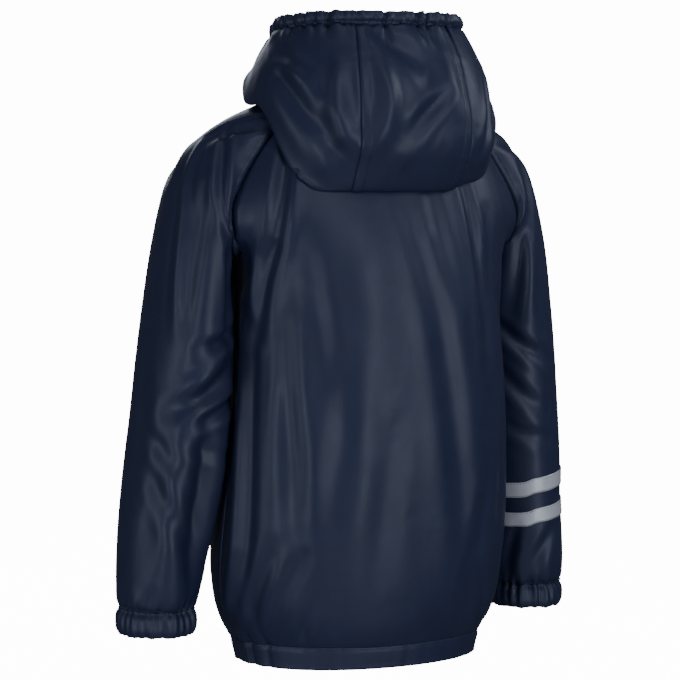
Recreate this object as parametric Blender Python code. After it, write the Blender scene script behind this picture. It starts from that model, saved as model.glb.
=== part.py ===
"""Kids raincoat, size about 116 cm: raglan sleeves, three-piece hood, elastic cuffs and front zip.

Metres, +Z up.  The front faces -Y and the wearer's left is +X.  The origin lies at the middle of
the neck seam, where the wearer's neck and shoulders carry the coat.

Every panel is a grid of points on the coat's outer form.  The grids share their seam points, the
whole coat is welded into one surface to find its normals, and each panel then gets its own wall,
thickened inwards, with its edges pulled back by half a seam gap.
"""
import math
from collections import namedtuple

import bmesh
import bpy
from mathutils import Matrix, Vector

# ---------------------------------------------------------------- driving sizes
CLOTH = 0.0015            # coated cloth, one layer
CASING = 0.0030           # turned casing: two layers over elastic
TAPE = 0.0010             # reflective tape
SEAM_GAP = 0.0003         # between neighbouring pieces
ZIP_GAP = 0.0070          # opening between the two front edges

HEM_TOP = -0.540          # top edge of the hem casing
TORSO_COLUMNS = 16        # across the back, and across both fronts together
SLEEVE_COLUMNS = 18       # round a sleeve
HOOD_SIDE_COLUMNS = 12    # on each side panel of the hood
HOOD_CENTRE_COLUMNS = 8   # on its centre panel
CUFF_GATHERS = 9          # puckers round a cuff, and their height
CUFF_PUCKER = 0.0016

ZIP_TAPE = 0.0012         # the zip's woven tape: thickness and half width
ZIP_HALF_WIDTH = 0.0090
CHAIN_HALF_WIDTH = 0.0025  # the closed teeth, which stand a little proud between the fronts
CHAIN_PROUD = 0.0003
ZIP_CLEARANCE = 0.0008    # between the tape and the cloth in front of it

NAVY = (0.012, 0.018, 0.044)
SILVER = (0.42, 0.44, 0.50)
BLACK = (0.010, 0.010, 0.012)
GUNMETAL = (0.20, 0.20, 0.22)

# Level sections of the body, hem to neck.  tilt lifts the back of a section and lowers its front.
Section = namedtuple("Section", "z width back front centre square tilt")
TORSO = (
    Section(-0.562, 0.123, 0.083, 0.081, 0.004, 2.3, -0.004),
    Section(HEM_TOP, 0.128, 0.087, 0.084, 0.004, 2.3, -0.004),
    Section(-0.510, 0.145, 0.098, 0.093, 0.006, 2.4, -0.003),
    Section(-0.460, 0.150, 0.104, 0.097, 0.010, 2.5, 0.000),
    Section(-0.400, 0.147, 0.107, 0.098, 0.014, 2.7, 0.000),
    Section(-0.320, 0.141, 0.109, 0.098, 0.017, 2.8, 0.000),
    Section(-0.250, 0.137, 0.110, 0.098, 0.018, 2.8, 0.000),
    Section(-0.205, 0.1335, 0.1150, 0.093, 0.011, 2.7, 0.000),
    Section(-0.185, 0.1340, 0.1165, 0.091, 0.008, 2.65, 0.000),
    Section(-0.165, 0.139, 0.116, 0.091, 0.006, 2.6, 0.000),
    Section(-0.157, 0.149, 0.115, 0.092, 0.006, 2.55, 0.000),
    Section(-0.145, 0.159, 0.113, 0.093, 0.006, 2.5, 0.000),
    Section(-0.125, 0.165, 0.105, 0.097, 0.010, 2.4, 0.000),
    Section(-0.100, 0.158, 0.100, 0.095, 0.008, 2.4, 0.002),
    Section(-0.070, 0.140, 0.092, 0.091, 0.006, 2.4, 0.004),
    Section(-0.045, 0.121, 0.084, 0.085, 0.004, 2.4, 0.006),
    Section(-0.020, 0.096, 0.075, 0.076, 0.002, 2.3, 0.008),
    Section(0.000, 0.071, 0.065, 0.064, 0.000, 2.2, 0.010),
)
UNDERARM = -0.165
FOLD_LIMIT = 0.80         # below this agreement with the whole coat a wall follows its own panel

# Where the raglan seam crosses a body section, and the sleeve's arc over the shoulder there.
# wrap is the angle from the top of the arc to the seam; form 0 follows the body, 1 the arc.
Raglan = namedtuple("Raglan", "z seam top_x top_z axis_y depth wrap form")
RAGLAN = (
    Raglan(UNDERARM, 0.139, 0.1985, -0.1200, -0.006, 0.0610, 180.0, 1.0),
    Raglan(-0.157, 0.147, 0.1975, -0.1120, -0.006, 0.0610, 158.0, 1.0),
    Raglan(-0.145, 0.154, 0.1960, -0.1020, -0.006, 0.0610, 142.0, 1.0),
    Raglan(-0.125, 0.157, 0.1900, -0.0830, -0.006, 0.0600, 124.0, 1.0),
    Raglan(-0.100, 0.148, 0.1780, -0.0640, -0.002, 0.0555, 110.0, 1.0),
    Raglan(-0.070, 0.129, 0.1570, -0.0415, 0.002, 0.0510, 100.0, 1.0),
    Raglan(-0.045, 0.108, 0.1300, -0.0235, 0.003, 0.0485, 94.0, 0.9),
    Raglan(-0.020, 0.082, 0.1010, -0.0090, 0.002, 0.0460, 90.0, 0.6),
    Raglan(0.000, 0.056, 0.0710, 0.0000, 0.000, 0.0440, 90.0, 0.0),
)

# Rings of the hanging sleeve.  tilt raises the outer side of a ring, lean its front side.
Ring = namedtuple("Ring", "z x y width depth tilt lean")
SLEEVE = (
    Ring(-0.165, 0.1735, -0.004, 0.0370, 0.0605, 24.0, 0.0),
    Ring(-0.195, 0.1765, -0.006, 0.0375, 0.0610, 14.0, 0.0),
    Ring(-0.225, 0.1795, -0.008, 0.0385, 0.0610, 8.0, 0.0),
    Ring(-0.265, 0.1830, -0.009, 0.0405, 0.0600, 6.0, 1.0),
    Ring(-0.310, 0.1870, -0.009, 0.0420, 0.0590, 7.0, 3.0),
    Ring(-0.350, 0.1915, -0.010, 0.0430, 0.0570, 7.0, 5.0),
    Ring(-0.390, 0.1965, -0.011, 0.0425, 0.0540, 8.0, 6.0),
    Ring(-0.430, 0.2020, -0.012, 0.0415, 0.0510, 7.0, 6.0),
    Ring(-0.470, 0.2060, -0.014, 0.0400, 0.0490, 5.0, 5.0),
    Ring(-0.492, 0.2085, -0.015, 0.0385, 0.0460, 2.0, 3.0),
    Ring(-0.506, 0.2095, -0.016, 0.0345, 0.0390, 1.0, 1.0),
)
CUFF = (
    Ring(-0.506, 0.2095, -0.016, 0.0345, 0.0390, 1.0, 1.0),
    Ring(-0.514, 0.2097, -0.016, 0.0365, 0.0410, 0.0, 0.0),
    Ring(-0.524, 0.2098, -0.016, 0.0365, 0.0410, 0.0, 0.0),
    Ring(-0.531, 0.2100, -0.016, 0.0350, 0.0395, 0.0, 0.0),
)
TAPES = {"tape_upper": (-0.384, -0.400), "tape_lower": (-0.413, -0.429)}

# Rings of the hood from the neck seam, down under the bag and up to the casing.
# Each height is given at the back, the side and the front of the ring.
# reach is the share of the ring's depth in which it comes down from its side to its back height.
Hoop = namedtuple("Hoop", "width back front centre square seam z_back z_side z_front reach")
HOOD = (
    Hoop(0.0710, 0.0650, 0.0640, 0.000, 2.2, 0.036, 0.0106, 0.0006, -0.0094, 0.0),
    Hoop(0.0850, 0.0800, 0.0675, 0.004, 2.3, 0.044, -0.002, 0.0010, -0.0050, 1.0),
    Hoop(0.0985, 0.0895, 0.0750, 0.012, 2.4, 0.050, -0.032, -0.0030, -0.0010, 0.9),
    Hoop(0.1090, 0.0945, 0.0825, 0.020, 2.5, 0.054, -0.062, -0.0065, 0.0020, 0.9),
    Hoop(0.1160, 0.0985, 0.0860, 0.024, 2.6, 0.056, -0.090, -0.0090, 0.0050, 0.9),
    Hoop(0.1205, 0.1030, 0.0875, 0.026, 2.6, 0.057, -0.103, -0.0095, 0.0080, 0.85),
    Hoop(0.1225, 0.1095, 0.0880, 0.027, 2.6, 0.058, -0.092, -0.0050, 0.0110, 0.85),
    Hoop(0.1220, 0.1130, 0.0885, 0.028, 2.6, 0.059, -0.066, 0.0025, 0.0130, 0.85),
    Hoop(0.1185, 0.1140, 0.0880, 0.028, 2.6, 0.060, -0.034, 0.0120, 0.0150, 0.85),
    Hoop(0.1120, 0.1100, 0.0885, 0.029, 2.5, 0.059, -0.004, 0.0235, 0.0170, 0.85),
    Hoop(0.1045, 0.0990, 0.0890, 0.030, 2.5, 0.056, 0.024, 0.0360, 0.0190, 0.85),
    Hoop(0.0960, 0.0860, 0.0895, 0.031, 2.4, 0.052, 0.046, 0.0490, 0.0210, 0.85),
    Hoop(0.0905, 0.0760, 0.0900, 0.032, 2.3, 0.049, 0.0580, 0.0560, 0.0240, 0.85),
)
RIM = (
    Hoop(0.0905, 0.0760, 0.0900, 0.032, 2.3, 0.049, 0.0580, 0.0560, 0.0240, 0.85),
    Hoop(0.0910, 0.0765, 0.0905, 0.032, 2.3, 0.049, 0.0630, 0.0610, 0.0285, 0.85),
    Hoop(0.0895, 0.0750, 0.0900, 0.032, 2.3, 0.049, 0.0700, 0.0680, 0.0350, 0.85),
)

FRONT_RISE = 1.7          # how late a hoop leaves its side height on the way to the front

# The largest folds: soft troughs (sink above 0) and ridges (below 0) along a line on the cloth.
Fold = namedtuple("Fold", "x y z to_x to_y to_z sink width")
BODY_FOLDS = (
    Fold(0.100, 0.085, -0.070, 0.128, 0.085, -0.230, 0.0035, 0.013),
    Fold(-0.075, 0.100, -0.090, -0.110, 0.092, -0.260, 0.0030, 0.014),
    Fold(0.045, 0.120, -0.300, 0.070, 0.110, -0.500, 0.0025, 0.018),
    Fold(-0.060, 0.118, -0.260, -0.085, 0.104, -0.480, 0.0030, 0.020),
    Fold(-0.070, -0.085, -0.100, -0.105, -0.075, -0.300, 0.0030, 0.016),
    Fold(0.080, -0.085, -0.100, 0.110, -0.070, -0.280, 0.0030, 0.016),
    Fold(0.190, 0.035, -0.085, 0.172, 0.058, -0.165, 0.0040, 0.013),
    Fold(0.215, 0.025, -0.235, 0.172, 0.055, -0.300, 0.0045, 0.014),
    Fold(0.232, 0.015, -0.400, 0.185, 0.040, -0.350, 0.0035, 0.013),
    Fold(-0.190, 0.035, -0.085, -0.172, 0.058, -0.170, 0.0035, 0.013),
    Fold(-0.215, 0.030, -0.260, -0.172, 0.055, -0.310, 0.0040, 0.014),
)
HOOD_FOLDS = (
    Fold(0.108, 0.070, 0.010, 0.060, 0.137, -0.045, 0.0035, 0.014),
    Fold(-0.060, 0.134, 0.015, -0.010, 0.142, -0.050, 0.0030, 0.013),
    Fold(-0.095, 0.095, 0.020, -0.085, 0.122, -0.060, 0.0030, 0.012),
    Fold(0.040, 0.135, 0.020, 0.048, 0.140, -0.070, -0.0030, 0.014),
)


# ---------------------------------------------------------------- small tools
def blend(rows, key, value):
    """One smoothly interpolated row of a table whose column `key` rises or falls steadily."""
    places = [getattr(row, key) for row in rows]
    sign = 1.0 if places[-1] > places[0] else -1.0
    last = len(rows) - 1
    index = 0
    while index < last - 1 and sign * (value - places[index + 1]) > 0.0:
        index += 1
    start, end = rows[index], rows[index + 1]
    before, after = rows[max(index - 1, 0)], rows[min(index + 2, last)]
    span = places[index + 1] - places[index]
    share = (value - places[index]) / span
    columns = []
    for column in range(len(start)):
        slope_in = (end[column] - before[column]) / (places[index + 1] - getattr(before, key))
        slope_out = (after[column] - start[column]) / (getattr(after, key) - places[index])
        if (end[column] - start[column]) * (start[column] - before[column]) <= 0.0:
            slope_in = 0.0
        if (after[column] - end[column]) * (end[column] - start[column]) <= 0.0:
            slope_out = 0.0
        h00 = (1 + 2 * share) * (1 - share) ** 2
        h10 = share * (1 - share) ** 2
        h01 = share * share * (3 - 2 * share)
        h11 = share * share * (share - 1)
        columns.append(h00 * start[column] + h10 * span * slope_in
                       + h01 * end[column] + h11 * span * slope_out)
    return type(start)(*columns)


def smooth_step(value):
    value = min(max(value, 0.0), 1.0)
    return value * value * (3.0 - 2.0 * value)


def signed_power(value, power):
    return math.copysign(abs(value) ** power, value)


def oval(section, turn):
    """Point of a rounded section, level; turn is in degrees: 0 front, 90 wearer's left, 180 back."""
    power = 2.0 / section.square
    across = signed_power(math.sin(math.radians(turn)), power)
    along = signed_power(math.cos(math.radians(turn)), power)
    depth = section.front if along > 0.0 else section.back
    return section.width * across, section.centre - depth * along, -along


def torso_point(z, turn):
    section = blend(TORSO, "z", z)
    x, y, back_share = oval(section, turn)
    return Vector((x, y, z + section.tilt * back_share))


def width_turn(section, half_width):
    """Angle from the front centre at which a section is `half_width` wide of the middle."""
    share = min(half_width / section.width, 1.0)
    return math.degrees(math.asin(share ** (section.square / 2.0)))


def seam_turn(z, seam):
    return width_turn(blend(TORSO, "z", z), seam)


def mirrored(point, side):
    return Vector((point.x * side, point.y, point.z))


# ---------------------------------------------------------------- grids of the panels
TORSO_ROWS = [-0.562, -0.551, HEM_TOP, -0.526, -0.505, -0.470, -0.430, -0.385, -0.340, -0.295,
              -0.255, -0.220, -0.188]


def body_rows():
    """Heights of the body's rows from hem to neck, each with the angle of its side seam."""
    rows = [(z, 90.0) for z in TORSO_ROWS]
    rows += [(row.z, seam_turn(row.z, row.seam)) for row in RAGLAN]
    rows[len(TORSO_ROWS)] = (UNDERARM, 90.0)
    return rows


def back_grid(rows):
    grid = []
    for z, seam in rows:
        turns = [180.0 + seam * (2.0 * i / TORSO_COLUMNS - 1.0) for i in range(TORSO_COLUMNS + 1)]
        grid.append([torso_point(z, turn) for turn in turns])
    return grid


def front_grid(rows, side):
    """A front panel from its zip edge to its side seam; side is 1 for the wearer's left."""
    half = TORSO_COLUMNS // 2
    grid = []
    for z, seam in rows:
        section = blend(TORSO, "z", z)
        edge = width_turn(section, ZIP_GAP / 2)
        turns = [edge + (seam - edge) * i / half for i in range(half + 1)]
        grid.append([mirrored(torso_point(z, turn), side) for turn in turns])
    return grid


def raglan_ring(row):
    """Points of the sleeve from the front raglan seam over the shoulder to the back one."""
    seam = 90.0 if row.z == UNDERARM else seam_turn(row.z, row.seam)
    ends = {-1.0: torso_point(row.z, seam), 1.0: torso_point(row.z, 180.0 - seam)}
    foot = Vector((row.seam, row.axis_y, (ends[-1.0].z + ends[1.0].z) / 2))
    top = Vector((row.top_x, row.axis_y, row.top_z))
    rise = (top - foot).normalized()
    wrap = math.radians(row.wrap)
    radius = (top - foot).length / (1.0 - math.cos(wrap))
    centre = top - rise * radius
    ring = []
    for i in range(SLEEVE_COLUMNS + 1):
        share = 2.0 * i / SLEEVE_COLUMNS - 1.0
        side = -1.0 if share < 0.0 else 1.0
        angle = wrap * abs(share)
        reach = Vector((0.0, side * row.depth, 0.0))
        point = centre + rise * radius * math.cos(angle) + reach * math.sin(angle)
        last = centre + rise * radius * math.cos(wrap) + reach * math.sin(wrap)
        point += (ends[side] - last) * smooth_step(abs(share)) * abs(share)
        flat = torso_point(row.z, seam + (180.0 - 2.0 * seam) * i / SLEEVE_COLUMNS)
        ring.append(flat.lerp(point, row.form))
    return ring


def sleeve_ring(row, pucker=None):
    """Points of a hanging ring, from the underarm line forwards and round to it again."""
    tilt = math.radians(row.tilt)
    lean = math.radians(row.lean)
    out = Vector((math.cos(tilt), 0.0, math.sin(tilt)))
    back = Vector((0.0, math.cos(lean), -math.sin(lean)))
    centre = Vector((row.x, row.y, row.z))
    ring = []
    for i in range(SLEEVE_COLUMNS + 1):
        angle = 2.0 * math.pi * i / SLEEVE_COLUMNS
        grow = pucker(angle) if pucker else 1.0
        point = centre - out * row.width * grow * math.cos(angle)
        point -= back * row.depth * grow * math.sin(angle)
        ring.append(point)
    return ring


SLEEVE_HEIGHTS = [-0.165, -0.190, -0.218, -0.250, -0.285, -0.320, -0.355,
                  TAPES["tape_upper"][0], TAPES["tape_upper"][1],
                  TAPES["tape_lower"][0], TAPES["tape_lower"][1], -0.453, -0.476, -0.493, -0.506]


def sleeve_grid(side):
    """Rows from the neck down to the cuff; all points on the wearer's left, then mirrored."""
    rows = [raglan_ring(row) for row in reversed(RAGLAN)]
    rows += [sleeve_ring(blend(SLEEVE, "z", z)) for z in SLEEVE_HEIGHTS]
    return [[mirrored(point, side) for point in row] for row in rows]


def cuff_grid(side):
    """The elastic casing, smooth where it joins the sleeve and puckered below."""
    def pucker(angle):
        return 1.0 + CUFF_PUCKER / CUFF[0].width * math.cos(CUFF_GATHERS * angle)
    rows = [sleeve_ring(CUFF[0])] + [sleeve_ring(row, pucker) for row in CUFF[1:]]
    return [[mirrored(point, side) for point in row] for row in rows]


def hood_point(hoop, turn):
    x, y, back_share = oval(hoop, turn)
    weight = abs(back_share)
    if back_share > 0.0:
        end = hoop.z_back
        weight = smooth_step(weight / hoop.reach) if hoop.reach else weight
    else:
        end = hoop.z_front
        weight = weight ** FRONT_RISE if hoop.reach else weight
    return Vector((x, y, hoop.z_side + (end - hoop.z_side) * weight))


def hood_grid(hoops, panel):
    """Rows of a hood panel: the left one runs from its front edge to its seam, and so on round."""
    grid = []
    for hoop in hoops:
        edge = width_turn(hoop, ZIP_GAP / 2)
        seam = 180.0 - width_turn(hoop, hoop.seam)
        start, end, count = {
            "left": (edge, seam, HOOD_SIDE_COLUMNS),
            "centre": (seam, 360.0 - seam, HOOD_CENTRE_COLUMNS),
            "right": (360.0 - seam, 360.0 - edge, HOOD_SIDE_COLUMNS),
        }[panel]
        grid.append([hood_point(hoop, start + (end - start) * i / count)
                     for i in range(count + 1)])
    return grid


# ---------------------------------------------------------------- walls
class Coat:
    """All panels welded into one outer surface, from which each piece takes its wall."""

    def __init__(self):
        self.points = []
        self.index = {}
        self.panels = {}

    def add(self, name, grid, flip=False):
        """Add a panel's grid of points; flip turns its faces to the other side."""
        cells = []
        keys = [[self.place(point) for point in row] for row in grid]
        for lower, upper in zip(keys, keys[1:]):
            for i in range(len(lower) - 1):
                cell = [lower[i], lower[i + 1], upper[i + 1], upper[i]]
                cell = [key for n, key in enumerate(cell) if key != cell[n - 1]]
                if len(cell) > 2:
                    cells.append(cell[::-1] if flip else cell)
        self.panels[name] = cells
        return keys

    def place(self, point):
        key = tuple(round(value, 6) for value in point)
        if key not in self.index:
            self.index[key] = len(self.points)
            self.points.append(point)
        return self.index[key]

    def weld(self):
        """Find the outward normal of every point of the whole coat."""
        self.normals = self.point_normals([cell for cells in self.panels.values() for cell in cells])

    def fold(self, folds):
        """Press the largest folds into the welded surface; they fade out at both ends."""
        moves = {}
        for row in folds:
            start = Vector((row.x, row.y, row.z))
            along = Vector((row.to_x, row.to_y, row.to_z)) - start
            for key, point in enumerate(self.points):
                share = min(max((point - start).dot(along) / along.length_squared, 0.0), 1.0)
                away = (point - start - along * share).length
                if away < 3.0 * row.width:
                    press = row.sink * math.exp(-(away / row.width) ** 2)
                    moves[key] = moves.get(key, 0.0) + press
        for key, press in moves.items():
            self.points[key] = self.points[key] - self.normals[key] * press
        self.weld()

    def point_normals(self, cells):
        normals = {}
        for cell in cells:
            normal = self.face_normal(cell)
            for n, key in enumerate(cell):
                into = self.points[cell[n - 1]] - self.points[key]
                out = self.points[cell[(n + 1) % len(cell)]] - self.points[key]
                share = normal * into.angle(out, 0.0)
                normals[key] = normals.get(key, Vector()) + share
        return {key: normal.normalized() for key, normal in normals.items()}

    def face_normal(self, cell):
        centre = sum((self.points[key] for key in cell), Vector()) / len(cell)
        normal = Vector()
        for n, key in enumerate(cell):
            normal += (self.points[cell[n - 1]] - centre).cross(self.points[key] - centre)
        return normal.normalized()

    def edge_pull(self, cells):
        """How far each border point of a piece steps back to leave its half of the seam gap."""
        pull = {}
        for start, end in border_edges(cells):
            along = (self.points[end] - self.points[start]).normalized()
            for key in (start, end):
                pull.setdefault(key, []).append(self.normals[key].cross(along).normalized())
        steps = {}
        for key, ways in pull.items():
            total = sum(ways, Vector())
            share = max(total.length_squared / len(ways) ** 2, 0.25)
            steps[key] = total / len(ways) / share * SEAM_GAP / 2
        return steps

    def wall(self, name, thickness, cells=None, lift=0.0):
        """A closed wall: outer points, the same points moved in, and a strip round the border."""
        cells = self.panels[name] if cells is None else cells
        pull = self.edge_pull(cells)
        used = sorted({key for cell in cells for key in cell})
        order = {key: n for n, key in enumerate(used)}
        outer = [self.points[key] + pull.get(key, Vector()) + self.normals[key] * lift
                 for key in used]
        own = self.point_normals(cells)
        inner = []
        for key, point in zip(used, outer):
            folded = own[key].dot(self.normals[key]) < FOLD_LIMIT
            inner.append(point - (own[key] if folded else self.normals[key]) * thickness)
        count = len(used)
        faces = [[order[key] for key in cell] for cell in cells]
        faces += [[order[key] + count for key in reversed(cell)] for cell in cells]
        for start, end in border_edges(cells):
            faces.append([order[end], order[start], order[start] + count, order[end] + count])
        return outer + inner, faces


def border_edges(cells):
    """Directed edges that only one cell of a piece uses."""
    edges = {(cell[n - 1], key): True for cell in cells for n, key in enumerate(cell)}
    return [edge for edge in edges if edge[::-1] not in edges]


def material(name, colour, roughness, metallic=0.0):
    made = bpy.data.materials.new(name)
    made.use_nodes = True
    shader = made.node_tree.nodes["Principled BSDF"]
    shader.inputs["Base Color"].default_value = (*colour, 1.0)
    shader.inputs["Roughness"].default_value = roughness
    shader.inputs["Metallic"].default_value = metallic
    return made


def make_object(name, points, faces, finish):
    mesh = bpy.data.meshes.new(name)
    mesh.from_pydata([tuple(point) for point in points], [], faces)
    mesh.materials.append(finish)
    mesh.shade_smooth()
    mesh.set_sharp_from_angle(angle=math.radians(50.0))
    piece = bpy.data.objects.new(name, mesh)
    bpy.context.scene.collection.objects.link(piece)
    return piece


# ---------------------------------------------------------------- the coat
def build_cloth():
    rows = body_rows()
    hem_rows = [row for row in rows if row[0] <= HEM_TOP]
    panel_rows = [row for row in rows if row[0] >= HEM_TOP]
    coat = Coat()
    coat.add("back", back_grid(panel_rows))
    coat.add("front_left", front_grid(panel_rows, 1.0))
    coat.add("front_right", front_grid(panel_rows, -1.0), flip=True)
    coat.add("hem_back", back_grid(hem_rows))
    coat.add("hem_left", front_grid(hem_rows, 1.0))
    coat.add("hem_right", front_grid(hem_rows, -1.0), flip=True)
    for name, side in (("left", 1.0), ("right", -1.0)):
        coat.add("sleeve_" + name, sleeve_grid(side), flip=side > 0.0)
        coat.add("cuff_" + name, cuff_grid(side), flip=side > 0.0)
    coat.weld()
    coat.fold(BODY_FOLDS)

    navy = material("coated_cloth", NAVY, 0.42)
    for name in ("back", "front_left", "front_right", "sleeve_left", "sleeve_right"):
        make_object(name, *coat.wall(name, CLOTH), navy)
    for name in ("cuff_left", "cuff_right"):
        make_object(name, *coat.wall(name, CASING), navy)
    hem = coat.panels["hem_back"] + coat.panels["hem_left"] + coat.panels["hem_right"]
    make_object("hem", *coat.wall("hem", CASING, hem), navy)

    silver = material("reflective_tape", SILVER, 0.35)
    for name, (top, bottom) in TAPES.items():
        start = len(RAGLAN) + SLEEVE_HEIGHTS.index(top)
        cells = [cell for n, cell in enumerate(coat.panels["sleeve_right"])
                 if n // SLEEVE_COLUMNS == start]
        make_object(name, *coat.wall(name, TAPE, cells, lift=TAPE + SEAM_GAP), silver)


def build_hood():
    coat = Coat()
    for name in ("left", "centre", "right"):
        coat.add("hood_" + name, hood_grid(HOOD, name))
        coat.add("rim_" + name, hood_grid(RIM, name))
    coat.weld()
    coat.fold(HOOD_FOLDS)
    navy = bpy.data.materials["coated_cloth"]
    for name in ("hood_left", "hood_centre", "hood_right"):
        make_object(name, *coat.wall(name, CLOTH), navy)
    rim = coat.panels["rim_left"] + coat.panels["rim_centre"] + coat.panels["rim_right"]
    make_object("hood_rim", *coat.wall("hood_rim", CASING, rim), navy)


# ---------------------------------------------------------------- the zip
def zip_path():
    """Centre-front points from the hem to the hood's casing, with the cloth's thickness there."""
    path = [(torso_point(z, 0.0), CASING if z <= HEM_TOP else CLOTH) for z, _ in body_rows()]
    path += [(hood_point(hoop, 0.0), CLOTH) for hoop in HOOD[1:-1]]
    path += [(hood_point(hoop, 0.0), CASING) for hoop in RIM]
    return path


def build_zip():
    """Two tapes with closed teeth between them: one stepped section along the centre front."""
    path = zip_path()
    points, faces = [], []
    for n, (point, cloth) in enumerate(path):
        before = path[max(n - 1, 0)][0]
        after = path[min(n + 1, len(path) - 1)][0]
        out = (after - before).cross(Vector((1.0, 0.0, 0.0))).normalized()
        out = -out if out.y > 0.0 else out
        face = -(cloth + ZIP_CLEARANCE)
        section = (
            (-ZIP_HALF_WIDTH, face - ZIP_TAPE), (ZIP_HALF_WIDTH, face - ZIP_TAPE),
            (ZIP_HALF_WIDTH, face), (CHAIN_HALF_WIDTH, face),
            (CHAIN_HALF_WIDTH, CHAIN_PROUD), (-CHAIN_HALF_WIDTH, CHAIN_PROUD),
            (-CHAIN_HALF_WIDTH, face), (-ZIP_HALF_WIDTH, face),
        )
        points += [point + Vector((x, 0.0, 0.0)) + out * height for x, height in section]
    sides = 8
    for n in range(len(path) - 1):
        for i in range(sides):
            j = (i + 1) % sides
            faces.append([n * sides + j, n * sides + i, (n + 1) * sides + i, (n + 1) * sides + j])
    last = (len(path) - 1) * sides
    for start, turn in ((0, 1), (last, -1)):
        for cap in ((0, 1, 2, 3, 6, 7), (3, 4, 5, 6)):
            faces.append([start + i for i in cap][::turn])
    make_object("zip", points, faces, material("zip_tape", BLACK, 0.7))


# The slider sits at the top of the closed zip.  Its own axes: x across, y out, z up the chain.
SLIDER_FOOT = HOOD[5]
SLIDER = {"width": 0.0085, "height": 0.0105, "thick": 0.0024, "lift": 0.0007}
LUG = {"inner": 0.0017, "outer": 0.0029, "height": 0.0040, "depth": 0.0034}
PIN_RADIUS = 0.0006
EYE = {"hole": 0.0010, "outer": 0.0018, "half_width": 0.0013}
HINGE_OUT = SLIDER["lift"] + SLIDER["thick"] + 0.0022
HINGE_UP = 0.0026
PULL = {"half_width": 0.0032, "thick": 0.0012, "start": 0.0034, "end": 0.0210}


def slider_frame():
    """Matrix from the slider's own axes to the coat's."""
    foot = hood_point(SLIDER_FOOT, 0.0)
    up = (hood_point(HOOD[-2], 0.0) - hood_point(HOOD[1], 0.0)).normalized()
    across = Vector((-1.0, 0.0, 0.0))
    out = up.cross(across).normalized()
    frame = Matrix((across, out, up)).transposed().to_4x4()
    frame.translation = foot
    return frame


def block(low, high):
    """A box between two corners, as a bmesh."""
    made = bmesh.new()
    bmesh.ops.create_cube(made, size=1.0)
    for vert in made.verts:
        vert.co = Vector(low[i] + (high[i] - low[i]) * (vert.co[i] + 0.5) for i in range(3))
    return made


def rod(radius, half_length, centre, segments=16):
    """A round bar along x, as a bmesh."""
    made = bmesh.new()
    turn = Matrix.Rotation(math.radians(90.0), 4, "Y")
    bmesh.ops.create_cone(made, cap_ends=True, segments=segments, radius1=radius, radius2=radius,
                          depth=2.0 * half_length, matrix=Matrix.Translation(centre) @ turn)
    return made


def solid(name, shape, finish, cutter=False):
    mesh = bpy.data.meshes.new(name)
    shape.to_mesh(mesh)
    shape.free()
    mesh.transform(slider_frame())
    mesh.materials.append(finish)
    piece = bpy.data.objects.new(name, mesh)
    bpy.context.scene.collection.objects.link(piece)
    if cutter:
        piece.hide_render = True
        piece.display_type = "WIRE"
    return piece


def combine(piece, other, operation):
    step = piece.modifiers.new(other.name, "BOOLEAN")
    step.operation = operation
    step.solver = "EXACT"
    step.object = other


def build_slider():
    """A plate over the teeth with two lugs and a pin that carry the pull tab."""
    metal = material("slider_metal", GUNMETAL, 0.35, 1.0)
    half = SLIDER["width"] / 2
    top = SLIDER["lift"] + SLIDER["thick"]
    slider = solid("zip_slider", block((-half, SLIDER["lift"], -SLIDER["height"] / 2),
                                       (half, top, SLIDER["height"] / 2)), metal)
    for side in (-1.0, 1.0):
        ends = sorted((side * LUG["inner"], side * LUG["outer"]))
        lug = block((ends[0], top - 0.0005, HINGE_UP - LUG["height"] / 2),
                    (ends[1], top + LUG["depth"], HINGE_UP + LUG["height"] / 2))
        name = "lug_a" if side < 0.0 else "lug_b"
        combine(slider, solid(name, lug, metal, cutter=True), "UNION")
    pin = rod(PIN_RADIUS, LUG["outer"] - 0.0003, Vector((0.0, HINGE_OUT, HINGE_UP)))
    combine(slider, solid("pin", pin, metal, cutter=True), "UNION")


def build_pull():
    """A flat tab that hangs from an eye round the slider's pin."""
    metal = material("pull_metal", GUNMETAL, 0.35, 1.0)
    hinge = Vector((0.0, HINGE_OUT, HINGE_UP))
    pull = solid("zip_pull", rod(EYE["outer"], EYE["half_width"], hinge, 20), metal)
    half = PULL["thick"] / 2
    slim = half - 0.0001
    neck = block((-0.8 * EYE["half_width"], HINGE_OUT - slim, HINGE_UP - PULL["start"] - 0.0005),
                 (0.8 * EYE["half_width"], HINGE_OUT + slim, HINGE_UP - EYE["hole"] - 0.0003))
    tab = block((-PULL["half_width"], HINGE_OUT - half, HINGE_UP - PULL["end"]),
                (PULL["half_width"], HINGE_OUT + half, HINGE_UP - PULL["start"]))
    combine(pull, solid("pull_neck", neck, metal, cutter=True), "UNION")
    combine(pull, solid("pull_tab", tab, metal, cutter=True), "UNION")
    hole = rod(EYE["hole"], 2.0 * EYE["half_width"], hinge, 20)
    combine(pull, solid("pull_hole", hole, metal, cutter=True), "DIFFERENCE")


def clear_scene():
    for piece in list(bpy.data.objects):
        bpy.data.objects.remove(piece)


clear_scene()
build_cloth()
build_hood()
build_zip()
build_slider()
build_pull()
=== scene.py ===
# %% [markdown]
# # Kids raincoat: what it looks like
# The coat is cut from polyurethane-coated polyester: a soft knitted ground with a satin film on
# its face. It has two fronts joined by a zip, a back, two raglan sleeves with gathered elastic
# cuffs, a turned hem with elastic in it and a three-piece hood whose edge runs through an elastic
# casing. Two reflective tapes are sewn round the wearer's right forearm.
#
# Every panel below is a fine grid laid on the coat's form, which is worked out from level
# sections. All panels share one set of outward directions, so that creases, seams and gathers
# pressed into neighbouring panels meet along their seams.

# %% Set up
import math
from collections import namedtuple

import bmesh
import bpy
import numpy as np
from mathutils import Matrix, Vector
from mathutils.bvhtree import BVHTree


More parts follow.
